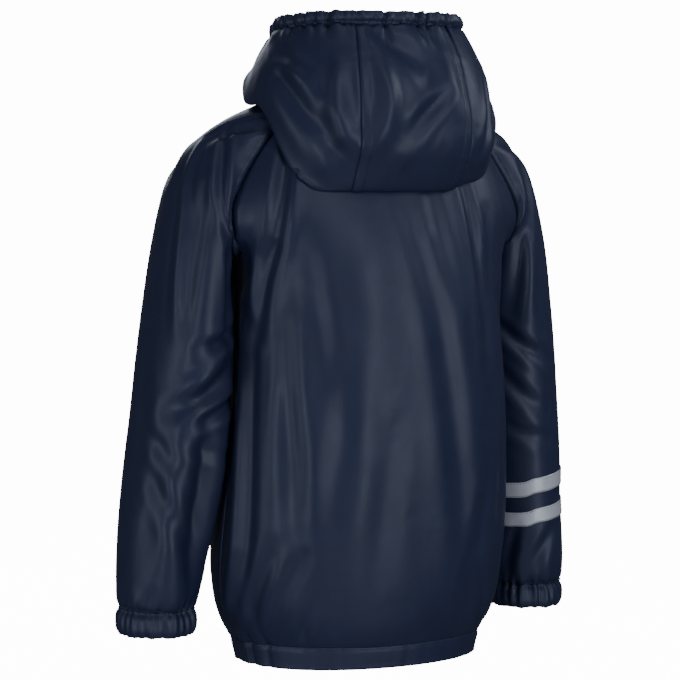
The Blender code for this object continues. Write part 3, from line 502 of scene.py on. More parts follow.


# %% [markdown]
# ## Creases
# Coated cloth is stiff for its weight: it folds in long soft troughs with a rounded shoulder on
# each side, and the ends fade out. They are placed on the cloth, where a coat of this cut
# folds: down the back from the raglan seams, across the inside of the elbow, over the shoulder,
# and in the bag of the hood. A place is given in metres: across from the middle line of the
# piece, and up or down by height; on the hood, up is the share of the way from neck to edge.
# The middle line is the centre back of the body and the hood, and the outer line of a sleeve.
# Across is positive to the wearer's left on the body and the hood, and to the back on a sleeve.

# %% The table of creases
Crease = namedtuple("Crease", "where across down to_across to_down bow depth width")
CREASES = (
    # body, back
    Crease("body", 0.109, -0.055, 0.165, -0.240, 0.000, 0.0076, 0.0080),
    Crease("body", 0.128, -0.235, 0.112, -0.400, 0.004, 0.0030, 0.0100),
    Crease("body", 0.188, -0.205, 0.186, -0.500, 0.000, -0.0052, 0.0095),
    Crease("body", 0.168, -0.240, 0.166, -0.500, 0.002, 0.0030, 0.0080),
    Crease("body", 0.140, -0.168, 0.176, -0.225, 0.000, -0.0052, 0.0230),
    Crease("body", -0.140, -0.168, -0.176, -0.225, 0.000, -0.0046, 0.0230),
    Crease("body", -0.066, -0.080, -0.092, -0.275, -0.004, 0.0048, 0.0068),
    Crease("body", -0.100, -0.120, -0.105, -0.330, 0.004, 0.0026, 0.0090),
    Crease("body", -0.028, -0.100, -0.048, -0.200, 0.003, 0.0020, 0.0085),
    Crease("body", 0.002, -0.115, -0.050, -0.410, -0.006, 0.0024, 0.0110),
    Crease("body", -0.020, -0.160, -0.068, -0.470, -0.006, 0.0030, 0.0120),
    Crease("body", 0.100, -0.170, 0.082, -0.320, 0.004, 0.0024, 0.0120),
    Crease("body", 0.070, -0.260, 0.085, -0.420, -0.005, 0.0026, 0.0130),
    Crease("body", 0.128, -0.300, 0.108, -0.480, 0.005, 0.0030, 0.0120),
    Crease("body", 0.018, -0.330, 0.030, -0.500, 0.004, 0.0018, 0.0140),
    Crease("body", -0.100, -0.360, -0.082, -0.520, 0.004, 0.0026, 0.0110),
    Crease("body", -0.135, -0.300, -0.120, -0.430, 0.003, 0.0024, 0.0100),
    Crease("body", 0.045, -0.150, 0.040, -0.300, 0.003, -0.0016, 0.0180),
    # body, rising from the hem
    Crease("body", 0.155, -0.536, 0.135, -0.440, 0.006, 0.0034, 0.0070),
    Crease("body", 0.130, -0.537, 0.105, -0.450, 0.005, 0.0030, 0.0065),
    Crease("body", 0.175, -0.536, 0.178, -0.460, 0.003, 0.0030, 0.0075),
    Crease("body", 0.098, -0.538, 0.088, -0.490, 0.003, 0.0020, 0.0060),
    Crease("body", -0.108, -0.538, -0.095, -0.470, -0.004, 0.0028, 0.0065),
    Crease("body", -0.132, -0.537, -0.118, -0.455, -0.005, 0.0032, 0.0070),
    Crease("body", -0.158, -0.536, -0.150, -0.465, -0.004, 0.0030, 0.0070),
    Crease("body", -0.190, -0.536, -0.196, -0.480, 0.003, 0.0026, 0.0070),
    # body, sides and fronts
    Crease("body", 0.235, -0.175, 0.215, -0.330, 0.006, 0.0036, 0.0100),
    Crease("body", 0.265, -0.150, 0.285, -0.300, 0.005, 0.0032, 0.0100),
    Crease("body", 0.305, -0.090, 0.290, -0.240, 0.006, 0.0030, 0.0100),
    Crease("body", 0.330, -0.280, 0.300, -0.460, -0.006, 0.0026, 0.0120),
    Crease("body", 0.270, -0.536, 0.262, -0.450, 0.004, 0.0030, 0.0070),
    Crease("body", 0.300, -0.537, 0.298, -0.470, 0.003, 0.0026, 0.0065),
    Crease("body", -0.235, -0.175, -0.215, -0.320, -0.006, 0.0036, 0.0100),
    Crease("body", -0.268, -0.150, -0.290, -0.310, -0.005, 0.0034, 0.0100),
    Crease("body", -0.302, -0.095, -0.286, -0.230, -0.006, 0.0028, 0.0095),
    Crease("body", -0.335, -0.260, -0.305, -0.440, 0.006, 0.0026, 0.0120),
    Crease("body", -0.272, -0.536, -0.258, -0.455, -0.004, 0.0030, 0.0070),
    Crease("body", -0.305, -0.537, -0.300, -0.480, -0.003, 0.0024, 0.0065),
    # wearer's left sleeve
    Crease("left", 0.046, -0.030, -0.002, -0.077, -0.004, -0.0036, 0.0034),
    Crease("left", 0.056, -0.046, 0.014, -0.082, -0.003, 0.0034, 0.0062),
    Crease("left", 0.004, -0.080, 0.047, -0.240, 0.004, -0.0034, 0.0068),
    Crease("left", 0.020, -0.064, 0.096, -0.152, 0.004, 0.0052, 0.0056),
    Crease("left", 0.092, -0.146, 0.108, -0.240, 0.003, 0.0044, 0.0066),
    Crease("left", 0.050, -0.130, 0.052, -0.235, 0.003, 0.0024, 0.0080),
    Crease("left", 0.118, -0.150, 0.108, -0.230, 0.004, 0.0026, 0.0080),
    Crease("left", 0.125, -0.228, 0.072, -0.252, 0.006, 0.0044, 0.0062),
    Crease("left", 0.118, -0.262, 0.048, -0.312, 0.012, 0.0062, 0.0085),
    Crease("left", 0.130, -0.292, 0.070, -0.322, 0.006, 0.0050, 0.0068),
    Crease("left", 0.104, -0.244, 0.066, -0.284, 0.006, -0.0030, 0.0070),
    Crease("left", 0.120, -0.350, 0.060, -0.338, 0.005, 0.0026, 0.0080),
    Crease("left", 0.092, -0.330, 0.094, -0.490, 0.000, 0.0105, 0.0155),
    Crease("left", 0.056, -0.330, 0.052, -0.470, 0.003, -0.0028, 0.0110),
    Crease("left", 0.122, -0.200, 0.122, -0.420, 0.000, -0.0062, 0.0180),
    Crease("left", 0.022, -0.335, 0.066, -0.368, 0.004, 0.0024, 0.0085),
    Crease("left", 0.030, -0.372, 0.096, -0.470, 0.008, 0.0030, 0.0100),
    Crease("left", 0.066, -0.380, 0.110, -0.455, 0.006, 0.0022, 0.0090),
    Crease("left", 0.000, -0.250, 0.012, -0.400, 0.005, 0.0018, 0.0120),
    Crease("left", -0.072, -0.055, -0.022, -0.130, 0.010, 0.0040, 0.0075),
    Crease("left", -0.050, -0.110, -0.110, -0.230, -0.008, 0.0038, 0.0085),
    Crease("left", -0.128, -0.240, -0.060, -0.270, 0.006, 0.0034, 0.0075),
    Crease("left", -0.122, -0.290, -0.065, -0.318, 0.006, 0.0034, 0.0075),
    Crease("left", -0.040, -0.360, -0.090, -0.460, 0.007, 0.0026, 0.0095),
    # wearer's right sleeve
    Crease("right", 0.036, -0.070, 0.038, -0.380, 0.000, -0.0042, 0.0200),
    Crease("right", 0.072, -0.045, 0.020, -0.125, -0.010, 0.0020, 0.0070),
    Crease("right", 0.050, -0.100, 0.108, -0.235, 0.008, 0.0042, 0.0085),
    Crease("right", 0.074, -0.130, 0.080, -0.250, 0.003, -0.0020, 0.0080),
    Crease("right", 0.126, -0.225, 0.062, -0.275, 0.006, 0.0044, 0.0070),
    Crease("right", 0.122, -0.275, 0.070, -0.322, 0.005, 0.0036, 0.0075),
    Crease("right", 0.118, -0.330, 0.072, -0.350, 0.004, 0.0026, 0.0070),
    Crease("right", 0.060, -0.440, 0.088, -0.492, 0.003, 0.0024, 0.0075),
    Crease("right", 0.102, -0.436, 0.112, -0.490, 0.003, 0.0024, 0.0065),
    Crease("right", 0.055, -0.290, 0.062, -0.380, 0.004, 0.0016, 0.0100),
    Crease("right", -0.070, -0.050, -0.020, -0.128, 0.010, 0.0022, 0.0075),
    Crease("right", -0.052, -0.112, -0.108, -0.240, -0.008, 0.0038, 0.0085),
    Crease("right", -0.126, -0.250, -0.058, -0.285, 0.006, 0.0034, 0.0075),
    Crease("right", -0.118, -0.310, -0.066, -0.335, 0.006, 0.0030, 0.0075),
    # hood
    Crease("hood", 0.152, 0.92, 0.137, 0.80, 0.004, 0.0032, 0.0075),
    Crease("hood", 0.156, 0.80, 0.118, 0.765, -0.004, -0.0032, 0.0070),
    Crease("hood", 0.155, 0.725, 0.086, 0.59, -0.008, 0.0056, 0.0105),
    Crease("hood", 0.092, 0.60, 0.066, 0.53, 0.000, 0.0032, 0.0090),
    Crease("hood", 0.079, 0.84, 0.072, 0.58, 0.008, -0.0046, 0.0098),
    Crease("hood", 0.040, 0.85, 0.050, 0.58, -0.012, -0.0050, 0.0095),
    Crease("hood", 0.036, 0.99, -0.012, 0.84, 0.004, 0.0060, 0.0120),
    Crease("hood", -0.032, 0.76, 0.014, 0.61, 0.004, 0.0044, 0.0075),
    Crease("hood", -0.034, 0.88, -0.040, 0.66, 0.000, -0.0034, 0.0150),
    Crease("hood", -0.104, 0.80, -0.076, 0.56, -0.006, 0.0046, 0.0065),
    Crease("hood", -0.130, 0.78, -0.105, 0.55, 0.004, 0.0034, 0.0080),
    Crease("hood", -0.160, 0.88, -0.140, 0.66, 0.006, 0.0038, 0.0085),
    Crease("hood", 0.235, 0.90, 0.225, 0.62, 0.004, 0.0012, 0.0090),
    Crease("hood", -0.225, 0.88, -0.215, 0.60, 0.004, 0.0012, 0.0090),
)
UP_HOOD = up_the_back(HOOD_PLACES)
UP_HOOD = UP_HOOD / UP_HOOD[-1]


# %% Where a place on the cloth is
SLEEVE_TOP = -0.185       # below this a sleeve's creases are placed on its plain rings


def row_curve(where, down):
    """The whole curve round the body, a sleeve or the hood at one height, from one middle edge."""
    if where == "body":
        return torso_curve(down, 360.0 * DENSE), -1.0
    if where == "hood":
        place = np.interp(down, UP_HOOD, HOOD_PLACES)
        return hood_curve(hoop_at(HOOD, place), 360.0 * DENSE), -1.0
    if down < SLEEVE_TOP:
        curve = ring_curve(blend(SLEEVE, down), DENSE)
    elif down < UNDERARM:
        share = (down - SLEEVE_TOP) / (UNDERARM - SLEEVE_TOP)
        low, high = ring_curve(blend(SLEEVE, SLEEVE_TOP), DENSE), raglan_curve(UNDERARM, DENSE)
        curve = low + (high - low) * share
    else:
        curve = raglan_curve(min(down, 0.0), DENSE)
    return (curve, 1.0) if where == "left" else (curve * MIRROR, 1.0)


def cloth_point(where, across, down):
    curve, sign = row_curve(where, down)
    run = lengths(curve)
    middle = run[len(run) // 2]
    return along_curve(curve, np.array([middle + sign * across]))[0]


def crease_path(row, count=11):
    shares = np.linspace(0.0, 1.0, count)
    points = []
    for share in shares:
        across = row.across + (row.to_across - row.across) * share
        down = row.down + (row.to_down - row.down) * share
        points.append(cloth_point(row.where, across + row.bow * 4 * share * (1 - share), down))
    return np.array(points)


CREASE_REACH = 3.6        # in widths: past this a crease moves nothing
SHOULDER_HEIGHT = 0.30    # the low ridges beside a trough, as shares of its depth and width
SHOULDER_PLACE = 1.9
SHOULDER_WIDTH = 0.85


def press_crease(points, path, depth, width):
    """How far a crease moves each point: a rounded trough with a low shoulder on each side."""
    press = np.zeros(len(points))
    reach = CREASE_REACH * width
    low, high = path.min(axis=0) - reach, path.max(axis=0) + reach
    near = np.nonzero(np.all((points > low) & (points < high), axis=1))[0]
    if len(near) == 0:
        return press
    chosen = points[near]
    run = lengths(path)
    best = np.full(len(near), 1e9)
    place = np.zeros(len(near))
    for n in range(len(path) - 1):
        step = path[n + 1] - path[n]
        share = np.clip((chosen - path[n]) @ step / max(step @ step, 1e-12), 0.0, 1.0)
        away = np.linalg.norm(chosen - path[n] - share[:, None] * step, axis=1)
        closer = away < best
        best[closer] = away[closer]
        place[closer] = (run[n] + share * np.linalg.norm(step))[closer]
    taper = np.sin(np.pi * np.clip(0.06 + 0.88 * place / run[-1], 0.0, 1.0)) ** 0.7
    wide = width * (0.75 + 0.35 * place / run[-1])
    trough = np.exp(-(best / wide) ** 2)
    ridge = np.exp(-((best - SHOULDER_PLACE * wide) / (SHOULDER_WIDTH * wide)) ** 2)
    press[near] = depth * taper * (trough - SHOULDER_HEIGHT * ridge)
    return press


# %% Press the creases in
for row in CREASES:
    path = crease_path(row)
    for panel in panels.values():
        if panel.group == row.where:
            points = panel.form.reshape(-1, 3)
            press = press_crease(points, path, row.depth, row.width)
            panel.press -= press.reshape(panel.press.shape)
print(len(CREASES), "creases pressed in")


# %% [markdown]
# ## Drape
# Between the named creases the cloth isn't even: it stands in long shallow waves that follow the
# grain, with finer, sharper crumples where it has been handled. Both are sums of seeded waves.
# They die out beside a raglan seam, which holds the cloth.

# %% Long waves and small crumples
def waves(points, seed, count, short, long, height, lengthwise):
    """A smooth uneven field over space: waves between two lengths, drawn out up and down."""
    rng = np.random.default_rng(seed)
    field = np.zeros(points.shape[:-1])
    for _ in range(count):
        way = rng.normal(size=3) * np.array([1.0, 1.0, 1.0 / lengthwise])
        way *= 2.0 * np.pi / rng.uniform(short, long) / np.linalg.norm(way)
        field += np.sin(points @ way + rng.uniform(0.0, 2.0 * np.pi))
    return field * height / math.sqrt(count)


for panel in panels.values():
    seed = 4 if panel.group == "hood" else 3
    points = panel.form
    soft = waves(points, seed, 14, 0.090, 0.180, 0.0010, 2.0)
    middle = waves(points, seed + 10, 16, 0.036, 0.064, 0.00012, 1.4)
    share = smooth_step(0.3 + 0.9 * waves(points, seed + 20, 10, 0.05, 0.12, 1.0, 1.0))
    crumple = -np.abs(waves(points, seed + 30, 12, 0.018, 0.034, 0.00012, 1.2))
    panel.press += soft + middle * (0.4 + share) + crumple * share


# %% [markdown]
# ## Seams and stitching lines
# A seam is sewn from inside, its allowance is turned to one side and that side is stitched down
# again from outside. So the cloth dips at the seam, stands up over the allowance and dips a
# little again at the row of stitches. The thread draws the cloth up unevenly between the rows.

# %% Seams
SEAM_DIP, SEAM_WIDTH = 0.0008, 0.0016
ROW_DIP, ROW_WIDTH = 0.00050, 0.0011     # the dip along a row of stitches
ALLOWANCE = 0.0006        # how far the allowance lifts the cloth
TOPSTITCH = 0.0072        # from a raglan seam to its row of stitches
HOOD_TOPSTITCH = 0.0102   # the same on the hood
TOPSTITCH_END = -0.150    # height of the lowest stitch of the raglan rows


def dip(away, depth, width):
    return -depth * np.exp(-(away / width) ** 2)


def allowance(away, height, edge):
    """The raised strip over a seam allowance, from beside the seam to just past the stitches."""
    return height * smooth_step(away / 0.0016) * smooth_step((edge + 0.0022 - away) / 0.0026)


def pucker(along, away, seed, height, reach):
    """Uneven small tucks across a seam, which fade out away from it."""
    rng = np.random.default_rng(seed)
    field = np.zeros_like(along)
    for _ in range(7):
        field += np.sin(along * 2.0 * np.pi / rng.uniform(0.0065, 0.0180)
                        + rng.uniform(0.0, 2.0 * np.pi))
    strength = 0.55 + 0.45 * np.sin(along * 2.0 * np.pi / 0.083 + seed)
    return height / math.sqrt(7.0) * field * strength * np.exp(-(away / reach) ** 2)


Seam = namedtuple("Seam", "panel side stitches tuck seed")
SEAMS = (
    Seam("back", "start", 0.0, 0.00022, 101),
    Seam("back", "end", 0.0, 0.00022, 102),
    Seam("front_left", "end", 0.0, 0.00022, 101),
    Seam("front_right", "start", 0.0, 0.00022, 102),
    Seam("sleeve_left", "start", TOPSTITCH, 0.00024, 103),
    Seam("sleeve_left", "end", TOPSTITCH, 0.00024, 104),
    Seam("sleeve_right", "start", TOPSTITCH, 0.00024, 105),
    Seam("sleeve_right", "end", TOPSTITCH, 0.00024, 106),
    Seam("hood_left", "end", 0.0, 0.00022, 107),
    Seam("hood_right", "start", 0.0, 0.00022, 108),
    Seam("hood_centre", "start", HOOD_TOPSTITCH, 0.00022, 107),
    Seam("hood_centre", "end", HOOD_TOPSTITCH, 0.00022, 108),
)
for seam in SEAMS:
    panel = panels[seam.panel]
    away = panel.start if seam.side == "start" else panel.end
    calm = 1.0
    if seam.panel.startswith("sleeve"):
        # below the underarm the seam is inside the arm, without the outer row of stitches
        calm = smooth_step((panel.form[:, 0, 2] - TOPSTITCH_END) / 0.012)[:, None]
    panel.press += dip(away, SEAM_DIP, SEAM_WIDTH)
    panel.press += pucker(panel.up, away - 0.003, seam.seed, seam.tuck, 0.008)
    if seam.stitches:
        panel.press += allowance(away, ALLOWANCE, seam.stitches) * calm
        panel.press += dip(away - seam.stitches, ROW_DIP, ROW_WIDTH) * calm
print(len(SEAMS), "seam edges shaped")

# %% [markdown]
# ## Gathers
# Elastic is sewn into the cuffs, the hem's sides and the hood's edge. It draws the cloth into
# folds that start at the casing and run out into the panel, each with its own length and height.

# %% Gathers
def gathers(along, away, total, seed, spacing, height, reach, closed=False):
    """Folds that start at a casing's edge; along runs with the edge and away from it.

    Between two rounded folds there is a narrow crease, and some creases are much the deepest.
    """
    rng = np.random.default_rng(seed)
    field = np.zeros_like(away)
    place = rng.uniform(0.0, spacing)
    while place < total:
        lift = height * rng.uniform(0.25, 1.1)
        notch = height * rng.uniform(0.2, 1.0) ** 2 * 1.5
        run = reach * rng.uniform(0.35, 1.3)
        lean = rng.uniform(-0.14, 0.14)
        width = spacing * rng.uniform(0.30, 0.46)
        half = spacing * rng.uniform(0.45, 0.65)
        for shift, size, wide in ((0.0, lift, width), (half, -notch, 0.0019)):
            gap = along - place - shift - lean * away
            if closed:
                gap = (gap + total / 2) % total - total / 2
            fold = np.exp(-(gap / (wide * (1.0 + 1.6 * away / run))) ** 2)
            field += size * fold * np.exp(-(away / run) ** 1.4)
        place += spacing * rng.uniform(0.6, 1.5)
    return field - 0.20 * height * np.exp(-(away / reach) ** 1.4)


# spacing, height and reach of the folds
CUFF_FOLDS = (0.0078, 0.0025, 0.020)
HEM_FOLDS = (0.0150, 0.0024, 0.034)
HOOD_FOLDS = (0.0120, 0.0034, 0.020)


for side in ("left", "right"):
    sleeve, cuff = panels["sleeve_" + side], panels["cuff_" + side]
    seed = 40 if side == "left" else 41
    total = sleeve.start[0, -1]
    along = sleeve.start / sleeve.start[:, -1:] * total
    sleeve.press += gathers(along, sleeve.up, total, seed, *CUFF_FOLDS, True)
    along = cuff.start / cuff.start[:, -1:] * total
    cuff.press += gathers(along, cuff.down * 0.25, total, seed, *CUFF_FOLDS, True)
    cuff.press += gathers(along, cuff.up, total, seed + 5, 0.0062, 0.0009, 0.014, True)
    bulge = np.sin(np.pi * np.clip((cuff.down - 0.003) / (cuff.down[0, 0] - 0.003), 0, 1))
    cuff.press += 0.0012 * bulge - 0.0004
    sleeve.press += dip(sleeve.up - 0.0018, 0.0010, 0.0014)
    cuff.press += dip(cuff.down - 0.0018, 0.0010, 0.0014)

for part in ("back", "left", "right"):
    name = "back" if part == "back" else "front_" + part
    body, hem = panels[name], panels["hem_" + part]
    # strongest beside the side seams, where the elastic ends are
    for grid, away in ((body, body.up), (hem, hem.down * 0.3)):
        across = grid.start / grid.start[:, -1:] * body.start[0, -1]
        total = body.start[0, -1]
        if part == "back":
            near = np.abs(across - total / 2) / (total / 2)
        else:
            near = across / total if part == "left" else 1.0 - across / total
        strength = 0.10 + 0.90 * smooth_step((near - 0.30) / 0.55)
        grid.press += strength * gathers(across, away, total, 50 + len(part), *HEM_FOLDS)
    body.press += dip(body.up - 0.0012, 0.0008, 0.0016)
    hem.press += dip(hem.down - 0.0012, 0.0008, 0.0016)
    hem.press += 0.0008 * np.sin(np.pi * np.clip(hem.down / hem.down[0, 0], 0.0, 1.0))

for part in ("left", "centre", "right"):
    hood, rim = panels["hood_" + part], panels["rim_" + part]
    total = hood.start[-1, -1]
    along = hood.start / hood.start[:, -1:] * total
    hood.press += gathers(along, hood.down, total, 60 + len(part), *HOOD_FOLDS)
    along = rim.start / rim.start[:, -1:] * total
    rim.press += gathers(along, rim.up * 0.3, total, 60 + len(part), 0.0120, 0.0036, 0.020)
    rim.press += gathers(along, rim.down, total, 70 + len(part), 0.0085, 0.0012, 0.012)
    rim.press += 0.0010 * np.sin(np.pi * np.clip(rim.up / 0.012, 0.0, 1.0))
    hood.press += dip(hood.down - 0.0012, 0.0010, 0.0016)
    rim.press += dip(rim.up - 0.0012, 0.0010, 0.0016)
print("gathers drawn into cuffs, hem and hood edge")

# %% [markdown]
# ## The zip holds the front edges
# The woven tapes of the zip are stiff, so the cloth beside them lies almost flat.

# %% Calm the front edges
for name, panel in panels.items():
    keep = 0.0 if panel.group == "hood" else 0.30
    if name in ("front_left", "hem_left", "hood_left", "rim_left"):
        panel.press *= keep + (1.0 - keep) * smooth_step(panel.start / 0.030)
    if name in ("front_right", "hem_right", "hood_right", "rim_right"):
        panel.press *= keep + (1.0 - keep) * smooth_step(panel.end / 0.030)

# %% [markdown]
# ## Move the cloth
# Where two panels meet, both take the mean of what was pressed into them, so the seam stays shut.

# %% Move the points
for names in (CLOTH_GRIDS, HOOD_GRIDS):
    place = welded(names)
    values = [np.stack([panels[n].press, np.ones_like(panels[n].press)], axis=-1) for n in names]
    sums = shared(names, place, values)
    for name in names:
        mean = sums[name][..., 0] / sums[name][..., 1]
        panels[name].cloth = panels[name].form + panels[name].outward * mean[..., None]
deepest = min(panel.press.min() for panel in panels.values())
print("deepest fold:", round(deepest * 1000, 1), "mm")

# %% [markdown]
# ## The hood hangs by its own weight
# The lower fold of the hood tucks in towards the back, so that the cloth just above it leans over
# and looks down. At the sides the same fold droops until it is just clear of the shoulders.

# %% Tuck the lower fold in and let its sides droop
TUCK = 0.016              # how far the lowest line is drawn towards the back of the coat
TUCK_REACH = 0.058        # how far from that line this is felt, measured on the cloth
DROOP = 0.010             # how far the fold sinks at the front of each side
DROOP_REACH = 0.042
CORNER = 0.013            # how far the fold's corner rides up on the wearer's right
CORNER_REACH = 0.050
for part in ("left", "centre", "right"):
    panel = panels["hood_" + part]
    lowest = panel.up[panel.form[..., 2].argmin(axis=0), np.arange(panel.up.shape[1])]
    for _ in range(40):
        lowest[1:-1] = (lowest[:-2] + 2 * lowest[1:-1] + lowest[2:]) / 4
    above = np.abs(panel.up - lowest)
    x, y = np.abs(panel.form[..., 0]), panel.form[..., 1]
    tuck = TUCK * smooth_step(1.0 - above / TUCK_REACH) * smooth_step((y - 0.055) / 0.060)
    right = smooth_step((-panel.form[..., 0] - 0.035) / 0.055) * smooth_step((y - 0.020) / 0.060)
    lift = CORNER * smooth_step(1.0 - above / CORNER_REACH) * right
    side = smooth_step((x - 0.060) / 0.040) * smooth_step((0.075 - y) / 0.060)
    side *= smooth_step((y + 0.058) / 0.030)
    droop = DROOP * smooth_step(1.0 - above / DROOP_REACH) * side
    panel.cloth = panel.cloth - np.stack([np.zeros_like(x), tuck, droop - lift], axis=-1)
print("lower fold drawn in by", TUCK * 1000, "mm, and down by", DROOP * 1000, "mm at the sides")

# %% [markdown]
# The fold rests on the coat. Wherever a point of the hood would pass into the back, it is put
# back just outside it, and the points round it follow a little so that no step shows.

# %% Keep the hood outside the back
CLEAR = 0.0024            # from the back's face to the hood's
FAR_BEHIND = 0.30         # rays that look for the back start here and run forwards
back = panels["back"].cloth
count = back.shape[1]
back_faces = [(i * count + j, i * count + j + 1, (i + 1) * count + j + 1, (i + 1) * count + j)
              for i in range(back.shape[0] - 1) for j in range(count - 1)]
back_surface = BVHTree.FromPolygons(back.reshape(-1, 3).tolist(), back_faces)
for part in ("left", "centre", "right"):
    panel = panels["hood_" + part]
    push = np.zeros(panel.cloth.shape[:2])
    for place in np.ndindex(push.shape):
        x, y, z = panel.cloth[place]
        # only the fold, which hangs behind and below the neck, can reach the back
        if y > 0.03 and z < -0.02:
            hit = back_surface.ray_cast((x, FAR_BEHIND, z), (0.0, -1.0, 0.0))[0]
            if hit is not None:
                push[place] = max(0.0, hit.y + CLEAR - y)
    for _ in range(6):
        round_it = push.copy()
        round_it[1:-1, 1:-1] = (push[:-2, 1:-1] + push[2:, 1:-1] + push[1:-1, :-2]
                                + push[1:-1, 2:]) / 4
        push = np.maximum(push, round_it)
    panel.cloth[..., 1] += push
    print("hood_" + part, "kept off the back by up to", round(float(push.max()) * 1000, 1), "mm")

# %% [markdown]
# ## Materials
# The coating is a thin polyurethane film: dark navy, smooth, with a satin shine that is a little
# uneven where the film is thin or has been rubbed. The fine knit shows through it as grain.
# The tapes are woven with glass beads, the zip is moulded and its metal parts are lacquered.

# %% Material helper
class Surface:
    """A Principled shader with short helpers for what goes into it."""

    def __init__(self, name):
        self.material = bpy.data.materials.new(name)
        self.material.use_nodes = True
        self.tree = self.material.node_tree
        self.shader = self.tree.nodes["Principled BSDF"]
        self.place = self.tree.nodes.new("ShaderNodeTexCoord").outputs["Object"]
        self.bump = None

    def set(self, **values):
        for key, value in values.items():
            self.shader.inputs[key.replace("_", " ")].default_value = value

    def link(self, a, b):
        self.tree.links.new(a, b)

    def noise(self, scale, detail=4.0, rough=0.55, stretch=(1.0, 1.0, 1.0)):
        mapping = self.tree.nodes.new("ShaderNodeMapping")
        mapping.inputs["Scale"].default_value = stretch
        self.link(self.place, mapping.inputs["Vector"])
        noise = self.tree.nodes.new("ShaderNodeTexNoise")
        noise.inputs["Scale"].default_value = scale
        noise.inputs["Detail"].default_value = detail
        noise.inputs["Roughness"].default_value = rough
        self.link(mapping.outputs["Vector"], noise.inputs["Vector"])
        return noise.outputs["Fac"]

    def range(self, value, low, high, start=0.3, end=0.7):
        node = self.tree.nodes.new("ShaderNodeMapRange")
        node.inputs["From Min"].default_value = start
        node.inputs["From Max"].default_value = end
        node.inputs["To Min"].default_value = low
        node.inputs["To Max"].default_value = high
        self.link(value, node.inputs["Value"])
        return node.outputs["Result"]

    def mix(self, share, one, two):
        node = self.tree.nodes.new("ShaderNodeMix")
        node.data_type = "RGBA"
        node.inputs["A"].default_value = (*one, 1.0)
        node.inputs["B"].default_value = (*two, 1.0)
        self.link(share, node.inputs["Factor"])
        return node.outputs["Result"]

    def add_bump(self, height, distance, strength=1.0):
        node = self.tree.nodes.new("ShaderNodeBump")
        node.inputs["Distance"].default_value = distance
        node.inputs["Strength"].default_value = strength
        self.link(height, node.inputs["Height"])
        if self.bump is not None:
            self.link(self.bump, node.inputs["Normal"])
        self.bump = node.outputs["Normal"]
        self.link(self.bump, self.shader.inputs["Normal"])


# %% Coated cloth
def coated_cloth():
    cloth = Surface("navy_coated_cloth")
    cloth.set(Specular_IOR_Level=0.34)
    mottle = cloth.noise(38.0, 5.0, 0.6)
    cloth.link(cloth.mix(cloth.range(mottle, 0.0, 1.0), (0.0150, 0.0205, 0.0490),
                         (0.0185, 0.0245, 0.0570)), cloth.shader.inputs["Base Color"])
    rubbed = cloth.noise(60.0, 6.0, 0.62, (1.0, 1.0, 0.5))
    cloth.link(cloth.range(rubbed, 0.40, 0.46), cloth.shader.inputs["Roughness"])
    cloth.add_bump(cloth.noise(110.0, 3.0, 0.5, (1.0, 1.0, 0.6)), 0.0004, 0.30)
    cloth.add_bump(cloth.noise(1400.0, 2.0, 0.5), 0.00010, 0.6)
    return cloth.material


def thread_material():
    thread = Surface("navy_thread")
    thread.set(Base_Color=(0.020, 0.026, 0.058, 1.0), Roughness=0.55)
    return thread.material


CLOTH_FINISH = coated_cloth()
THREAD_FINISH = thread_material()
print("cloth and thread finishes made")


# %% [markdown]
# ## Building the panels
# Each panel is a plain grid from the mesh tool, with its points moved on to the shaped cloth, and
# a Solidify step that gives it the cloth's real thickness inwards. A piece that is one casing in
# the real coat is one mesh here: its grids are merged along the points they share.

# %% Panel meshes
def grid_mesh(mesh, points):
    rows, columns = points.shape[:2]
    made = bmesh.ops.create_grid(mesh, x_segments=columns - 1, y_segments=rows - 1, size=1.0)
    for vert, point in zip(made["verts"], points.reshape(-1, 3)):
        vert.co = point


def new_piece(name, shape, finish, smooth=True):
    """An object at the origin with one finish, made from a bmesh that isn't needed any more."""
    for face in shape.faces:
        face.smooth = smooth
    mesh = bpy.data.meshes.new(name)
    shape.to_mesh(mesh)
    shape.free()
    mesh.materials.append(finish)
    piece = bpy.data.objects.new(name, mesh)
    scene.collection.objects.link(piece)
    return piece


def thicken(piece, thickness):
    """Give a sheet its real wall, inwards from the points it was made on."""
    wall = piece.modifiers.new("thickness", "SOLIDIFY")
    wall.thickness = thickness
    wall.offset = -1.0


def make_piece(name, shape, finish, body="coat", smooth=True):
    piece = new_piece(name, shape, finish, smooth)
    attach(piece, body)
    return piece


def build_panel(row):
    """One piece of coated cloth, or one casing, from the shaped grids that it names."""
    shape = bmesh.new()
    for grid in row.grids:
        grid_mesh(shape, panels[grid].cloth)
    bmesh.ops.remove_doubles(shape, verts=shape.verts, dist=0.00001)
    piece = make_piece(row.name, shape, CLOTH_FINISH)
    thicken(piece, row.wall)
    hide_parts(row.node)


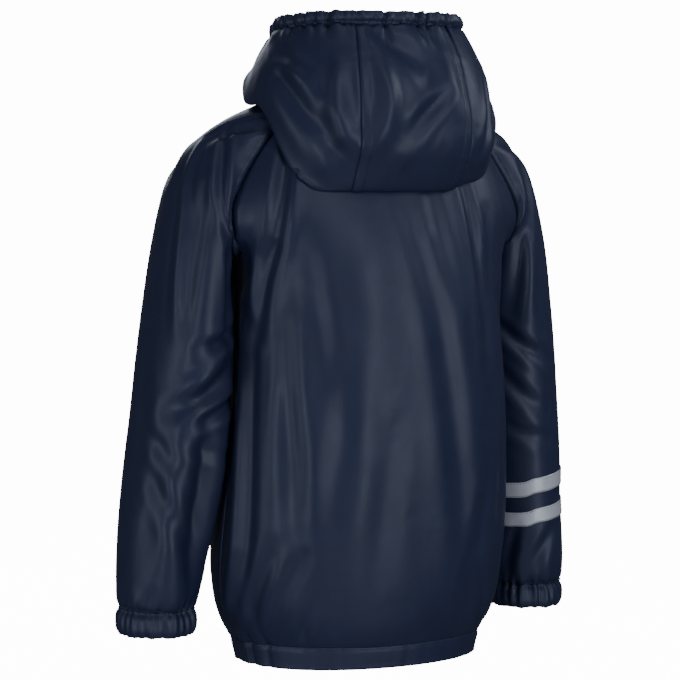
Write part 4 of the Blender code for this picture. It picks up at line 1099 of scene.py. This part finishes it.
Piece = namedtuple("Piece", "name node grids wall width length area held")
PIECES = (
    Piece("back_cloth", "back", ("back",), CLOTH, 0.46, 0.56, 0.215, "hung"),
    Piece("front_left_cloth", "front_left", ("front_left",), CLOTH, 0.23, 0.56, 0.105, "hung"),
    Piece("front_right_cloth", "front_right", ("front_right",), CLOTH, 0.23, 0.56, 0.105, "hung"),
    Piece("sleeve_left_cloth", "sleeve_left", ("sleeve_left",), CLOTH, 0.36, 0.52, 0.155, "hung"),
    Piece("sleeve_right_cloth", "sleeve_right", ("sleeve_right",), CLOTH, 0.36, 0.52, 0.155,
          "hung"),
    Piece("hood_centre_cloth", "hood_centre", ("hood_centre",), CLOTH, 0.13, 0.31, 0.036, "hung"),
    Piece("hood_left_cloth", "hood_left", ("hood_left",), CLOTH, 0.27, 0.21, 0.040, "hung"),
    Piece("hood_right_cloth", "hood_right", ("hood_right",), CLOTH, 0.27, 0.21, 0.040, "hung"),
    Piece("cuff_left_casing", "cuff_left", ("cuff_left",), CASING, 0.26, 0.027, None, "gathered"),
    Piece("cuff_right_casing", "cuff_right", ("cuff_right",), CASING, 0.26, 0.027, None,
          "gathered"),
    Piece("hem_casing", "hem", ("hem_left", "hem_back", "hem_right"), CASING, 0.78, 0.023, None,
          "gathered"),
    Piece("hood_rim_casing", "hood_rim", ("rim_left", "rim_centre", "rim_right"), CASING, 0.58,
          0.0135, None, "gathered"),
)
for row in PIECES:
    build_panel(row)
    areas = [np.linalg.norm(face_sums(panels[grid].cloth), axis=2).sum() / 8.0
             for grid in row.grids]
    print(row.name, "area", round(sum(areas), 4), "m2")


# %% [markdown]
# ## Rows of stitches
# Lockstitches in navy thread, about eight to the inch: each is a short bead that sinks a little
# into the cloth. They are small solids set along a line that is taken from the shaped cloth.

# %% Lines on the cloth
def edge_line(name, side, away):
    """A line at a distance from one edge of a panel, with outward directions."""
    panel = panels[name]
    places = {"start": panel.start, "end": panel.end, "bottom": panel.up.T,
              "top": panel.down.T}[side]
    result = []
    for source in (panel.cloth, panel.outward):
        if side in ("bottom", "top"):
            source = source.transpose(1, 0, 2)
        line = []
        for run, values in zip(places, source):
            order = np.argsort(run)
            line.append(read_along(run[order], values[order], away))
        result.append(np.array(line))
    return result


STITCH = {"pitch": 0.0031, "length": 0.0024, "width": 0.00055, "height": 0.00035}
STITCH_AIM = 0.0008       # how far ahead and behind a stitch looks for its direction


def stitch_row(shape, points, outward, lift=0.00008):
    """Stitches along a line, joined into one mesh."""
    run = lengths(points)
    for place in np.arange(STITCH["pitch"], run[-1] - STITCH["pitch"], STITCH["pitch"]):
        at = [read_along(run, points, place + shift) for shift in (-STITCH_AIM, 0.0, STITCH_AIM)]
        out = Vector(read_along(run, outward, place)).normalized()
        along = Vector(at[2] - at[0]).normalized()
        across = out.cross(along).normalized()
        out = along.cross(across)
        turn = Matrix((along * STITCH["length"] / 2, across * STITCH["width"] / 2,
                       out * STITCH["height"])).transposed().to_4x4()
        turn.translation = Vector(at[1]) + out * lift
        bmesh.ops.create_icosphere(shape, subdivisions=1, radius=1.0, matrix=turn)


# %% Sew the seams
def above_underarm(line):
    keep = line[0][:, 2] > TOPSTITCH_END
    return line[0][keep], line[1][keep]


StitchRow = namedtuple("StitchRow", "piece away edges")
STITCH_ROWS = (
    StitchRow("stitches_cuffs", 0.0018, (("cuff_left", "top"), ("cuff_right", "top"))),
    StitchRow("stitches_hem", 0.0014,
              (("hem_left", "top"), ("hem_back", "top"), ("hem_right", "top"))),
    StitchRow("stitches_hood", HOOD_TOPSTITCH, (("hood_centre", "start"), ("hood_centre", "end"))),
    StitchRow("stitches_raglan", TOPSTITCH,
              (("sleeve_left", "start"), ("sleeve_left", "end"),
               ("sleeve_right", "start"), ("sleeve_right", "end"))),
    StitchRow("stitches_rim", 0.0016,
              (("rim_left", "bottom"), ("rim_centre", "bottom"), ("rim_right", "bottom"))),
    StitchRow("stitches_zip", 0.0050,
              (("front_left", "start"), ("front_right", "end"),
               ("hood_left", "start"), ("hood_right", "end"))),
)
for row in STITCH_ROWS:
    shape = bmesh.new()
    for name, side in row.edges:
        line = edge_line(name, side, row.away)
        if name.startswith("sleeve"):
            line = above_underarm(line)
        stitch_row(shape, *line)
    count = len(shape.verts) // 12
    make_piece(row.piece, shape, THREAD_FINISH)
    print(row.piece, count, "stitches")


# %% [markdown]
# ## Reflective tapes
# Two bands of woven glass-bead tape go round the wearer's right forearm. Tape is stiffer than the
# cloth, so it bridges the smallest crumples and shows its own straight edges.

# %% Tape material
def tape_material():
    tape = Surface("reflective_tape")
    tape.set(Metallic=0.25, Specular_IOR_Level=0.6)
    fine = tape.noise(900.0, 2.0, 0.5)
    tape.link(tape.mix(tape.range(fine, 0.0, 1.0), (0.50, 0.51, 0.54), (0.62, 0.63, 0.66)),
              tape.shader.inputs["Base Color"])
    worn = tape.noise(70.0, 5.0, 0.6)
    tape.link(tape.range(worn, 0.34, 0.50), tape.shader.inputs["Roughness"])
    tape.add_bump(fine, 0.00012, 0.5)
    tape.add_bump(tape.noise(160.0, 3.0, 0.5), 0.0004, 0.4)
    return tape.material


TAPE_FINISH = tape_material()
TAPES = {"tape_upper": (-0.3895, -0.4050), "tape_lower": (-0.4210, -0.4360)}


# %% Sew the tapes on
TAPE_HIGH_SIDE = np.array([-0.891, 0.454])   # level direction in which the tapes rise
TAPE_SLOPE = 0.02
TAPE_KINK = 0.0016        # half the step where the sleeve's inner fold lifts the tape


def sleeve_rows(z_values):
    """Rows of the wearer's right sleeve at the given heights, a little lower at its inner side."""
    sleeve, count = panels["sleeve_right"], np.arange(len(SLEEVE_ROWS))
    rows, ways = [], []
    for z in z_values:
        ring = sleeve.form[int(np.interp(z, SLEEVE_ROWS, count)), :, :2]
        out = (ring - ring.mean(axis=0)) @ TAPE_HIGH_SIDE
        sag = TAPE_SLOPE * out + TAPE_KINK * np.tanh((out - 0.012) / 0.0035)
        places = np.interp(z + sag, SLEEVE_ROWS, count)
        index = np.minimum(places.astype(int), count[-2])
        part = (places - index)[:, None]
        columns = np.arange(len(places))
        for source, target in ((sleeve.cloth, rows), (sleeve.outward, ways)):
            low, high = source[index, columns], source[index + 1, columns]
            target.append(low * (1 - part) + high * part)
    return np.array(rows), np.array(ways)


TAPE_LIFT = 0.0011        # the tape's face stands this far off the cloth's
TAPE_WALL = 0.0007
for name, (top, bottom) in TAPES.items():
    points, ways = sleeve_rows(np.linspace(bottom, top, 9))
    smooth = points.copy()
    for _ in range(3):
        smooth[:, 1:-1] = (smooth[:, :-2] + 2 * smooth[:, 1:-1] + smooth[:, 2:]) / 4
    ahead = ((points - smooth) * ways).sum(axis=2, keepdims=True)
    smooth = smooth + ways * np.maximum(ahead, 0.0)
    surface = smooth + ways * TAPE_LIFT
    shape = bmesh.new()
    grid_mesh(shape, surface)
    piece = make_piece(name + "_band", shape, TAPE_FINISH)
    thicken(piece, TAPE_WALL)
    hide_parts(name)
    shape = bmesh.new()
    for row in (1, -2):
        line = surface[row] * 0.7 + surface[0 if row == 1 else -1] * 0.3
        stitch_row(shape, line, ways[row], 0.0)
    make_piece("stitches_" + name, shape, THREAD_FINISH)
    print(name, "sewn on")


# %% [markdown]
# ## The zip
# A moulded zip: two woven tapes behind the front edges and a closed row of teeth between them,
# from the hem to the hood's edge. Its path is the middle between the two front edges.

# %% Zip path
def zip_line():
    middle, outward = [], []
    for left, right in (("hem_left", "hem_right"), ("front_left", "front_right"),
                        ("hood_left", "hood_right"), ("rim_left", "rim_right")):
        a, b = panels[left], panels[right]
        start = 0 if left == "hem_left" else 1
        middle += list((a.cloth[start:, 0] + b.cloth[start:, -1]) / 2)
        outward += list((a.outward[start:, 0] + b.outward[start:, -1]) / 2)
    return np.array(middle), np.array(outward)


def even(line, outward, step):
    """Evenly spaced points of the zip's path, with their outward directions smoothed."""
    run = lengths(line)
    places = np.arange(0.0, run[-1], step)
    points, ways = read_along(run, line, places), read_along(run, outward, places)
    ways[:, 0] = 0.0
    for _ in range(6):
        ways[1:-1] = (ways[:-2] + 2 * ways[1:-1] + ways[2:]) / 4
    return points, ways / np.linalg.norm(ways, axis=1, keepdims=True)


ZIP_LINE, ZIP_OUT = zip_line()
print("zip", round(lengths(ZIP_LINE)[-1], 3), "m long")


# %% Zip tapes and teeth
ZIP_TAPE_HALF = 0.0090    # half the width of the two tapes together
ZIP_TAPE_DEPTH = 0.0024   # how far they lie behind the front edges' faces
ZIP_TAPE_WALL = 0.0009
TOOTH = {"width": 0.0032, "height": 0.0011, "depth": 0.0020, "stagger": 0.0007, "sunk": 0.0009}


def tape_finish():
    tape = Surface("zip_woven_tape")
    tape.set(Base_Color=(0.010, 0.011, 0.016, 1.0), Roughness=0.8, Sheen_Weight=0.3)
    tape.add_bump(tape.noise(1500.0, 2.0, 0.5), 0.0002, 0.8)
    return tape.material


def tooth_finish():
    tooth = Surface("zip_teeth")
    tooth.set(Base_Color=(0.011, 0.013, 0.022, 1.0), Roughness=0.32)
    return tooth.material


points, ways = even(ZIP_LINE, ZIP_OUT, 0.0040)
across = np.linspace(-ZIP_TAPE_HALF, ZIP_TAPE_HALF, 7)
surface = (points[:, None, :] - ways[:, None, :] * ZIP_TAPE_DEPTH
           + across[None, :, None] * np.array([1.0, 0.0, 0.0]))
shape = bmesh.new()
grid_mesh(shape, surface)
tape = make_piece("zip_tapes", shape, tape_finish())
thicken(tape, ZIP_TAPE_WALL)
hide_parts("zip")

points, ways = even(ZIP_LINE, ZIP_OUT, 0.0015)
shape = bmesh.new()
for n in range(1, len(points) - 1):
    along = Vector(points[n + 1] - points[n - 1]).normalized()
    out = Vector(ways[n])
    side = 1.0 if n % 2 else -1.0
    turn = Matrix((Vector((1.0, 0.0, 0.0)) * TOOTH["width"], along * TOOTH["height"],
                   out * TOOTH["depth"])).transposed().to_4x4()
    turn.translation = (Vector(points[n]) + Vector((side * TOOTH["stagger"], 0.0, 0.0))
                        - out * TOOTH["sunk"])
    bmesh.ops.create_cube(shape, size=1.0, matrix=turn)
bmesh.ops.bevel(shape, geom=list(shape.edges), offset=0.00018, segments=1, profile=0.5,
                affect="EDGES", material=-1)
make_piece("zip_teeth", shape, tooth_finish(), smooth=False)
print(len(points) - 2, "teeth")


# %% [markdown]
# ## Slider and pull
# Die-cast and lacquered. They keep their exact solid forms, with their edges rounded.

# %% Slider and pull
def metal_finish():
    metal = Surface("lacquered_metal")
    metal.set(Metallic=1.0, Base_Color=(0.16, 0.16, 0.18, 1.0))
    worn = metal.noise(400.0, 4.0, 0.6)
    metal.link(metal.range(worn, 0.28, 0.42), metal.shader.inputs["Roughness"])
    return metal.material


METAL_FINISH = metal_finish()
for node, body in (("zip_slider", "coat"), ("zip_pull", "pull_tab")):
    shape = bmesh.new()
    shape.from_mesh(bpy.data.objects[node].data)
    bmesh.ops.remove_doubles(shape, verts=shape.verts, dist=0.000005)
    bmesh.ops.dissolve_limit(shape, angle_limit=math.radians(2.0), verts=shape.verts,
                             edges=shape.edges)
    sharp = [edge for edge in shape.edges
             if len(edge.link_faces) == 2 and edge.calc_face_angle(0.0) > math.radians(50.0)]
    bmesh.ops.bevel(shape, geom=sharp, offset=0.00015, segments=2, profile=0.5,
                    affect="EDGES", material=-1, clamp_overlap=True)
    piece = make_piece(node + "_metal", shape, METAL_FINISH, body)
    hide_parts(node)
    print(node, "rounded")


# %% [markdown]
# ## Studio
# A pale floor and a pale surround, a broad soft light over the camera and softer ones at the
# sides and above. The surround is seen but doesn't light or mirror itself in the cloth, so that
# the satin film shows only the soft lights. The coat hangs clear of the floor, filled out as if
# worn.

# %% Floor and surround
AZIMUTH, ELEVATION = math.radians(153.0), math.radians(3.0)
VIEW = Vector((math.sin(AZIMUTH), -math.cos(AZIMUTH), 0.0))


def studio_white():
    white = Surface("studio_white")
    white.set(Base_Color=(0.80, 0.80, 0.80, 1.0), Roughness=0.9, Specular_IOR_Level=0.1)
    white.set(Emission_Color=(1.0, 1.0, 1.0, 1.0), Emission_Strength=14.0)
    return white.material


def stage_piece(name, shape, finish):
    piece = new_piece(name, shape, finish)
    piece.visible_diffuse = False
    piece.visible_glossy = False
    piece.visible_shadow = False


WHITE = studio_white()
shape = bmesh.new()
bmesh.ops.create_circle(shape, cap_ends=True, segments=96, radius=8.0,
                        matrix=Matrix.Translation((0.0, 0.0, -0.78)))
stage_piece("studio_floor", shape, WHITE)
shape = bmesh.new()
bmesh.ops.create_uvsphere(shape, u_segments=64, v_segments=32, radius=7.5)
stage_piece("studio_surround", shape, WHITE)

world = bpy.data.worlds.new("surround")
world.use_nodes = True
world.node_tree.nodes["Background"].inputs["Color"].default_value = (0.9, 0.95, 1.0, 1.0)
world.node_tree.nodes["Background"].inputs["Strength"].default_value = 0.06
scene.world = world


# %% Lights
def soft_light(name, azimuth, elevation, distance, size, power, aim=(0.0, 0.0, -0.20)):
    angle, height = math.radians(azimuth), math.radians(elevation)
    way = Vector((math.sin(angle) * math.cos(height), -math.cos(angle) * math.cos(height),
                  math.sin(height)))
    light = bpy.data.lights.new(name, "AREA")
    light.shape = "RECTANGLE"
    light.size, light.size_y = size
    light.energy = power
    light.color = (0.83, 0.88, 1.0)
    lamp = bpy.data.objects.new(name, light)
    lamp.location = Vector(aim) + way * distance
    lamp.rotation_euler = (-way).to_track_quat("-Z", "Y").to_euler()
    scene.collection.objects.link(lamp)


soft_light("key_over_camera", 172.0, 32.0, 2.3, (0.9, 0.8), 8.0)
soft_light("back_panel", 195.0, -3.0, 2.8, (0.90, 2.2), 29.0)
soft_light("camera_side", 130.0, -8.0, 2.8, (0.50, 1.6), 18.0)
soft_light("side_left", 94.0, 0.0, 2.4, (0.40, 1.9), 12.0)
soft_light("hood_side", 246.0, 22.0, 1.1, (0.55, 0.45), 3.4, aim=(0.0, 0.06, 0.0))
soft_light("floor_bounce", 165.0, -35.0, 0.75, (0.9, 0.4), 0.6, aim=(0.0, 0.0, -0.50))
soft_light("top", 180.0, 80.0, 2.0, (1.2, 1.2), 4.0)
soft_light("front_fill", 346.0, 26.0, 2.6, (1.4, 1.6), 18.0)

# %% Camera
camera_data = bpy.data.cameras.new("camera")
camera_data.sensor_width = 36.0
camera_data.lens = 135.0
camera = bpy.data.objects.new("camera", camera_data)
AIM = Vector((0.0116, -0.0059, -0.25))
way = Vector((VIEW.x * math.cos(ELEVATION), VIEW.y * math.cos(ELEVATION), math.sin(ELEVATION)))
camera.location = AIM + way * 2.55
camera.rotation_euler = (-way).to_track_quat("-Z", "Y").to_euler()
scene.collection.objects.link(camera)
scene.camera = camera
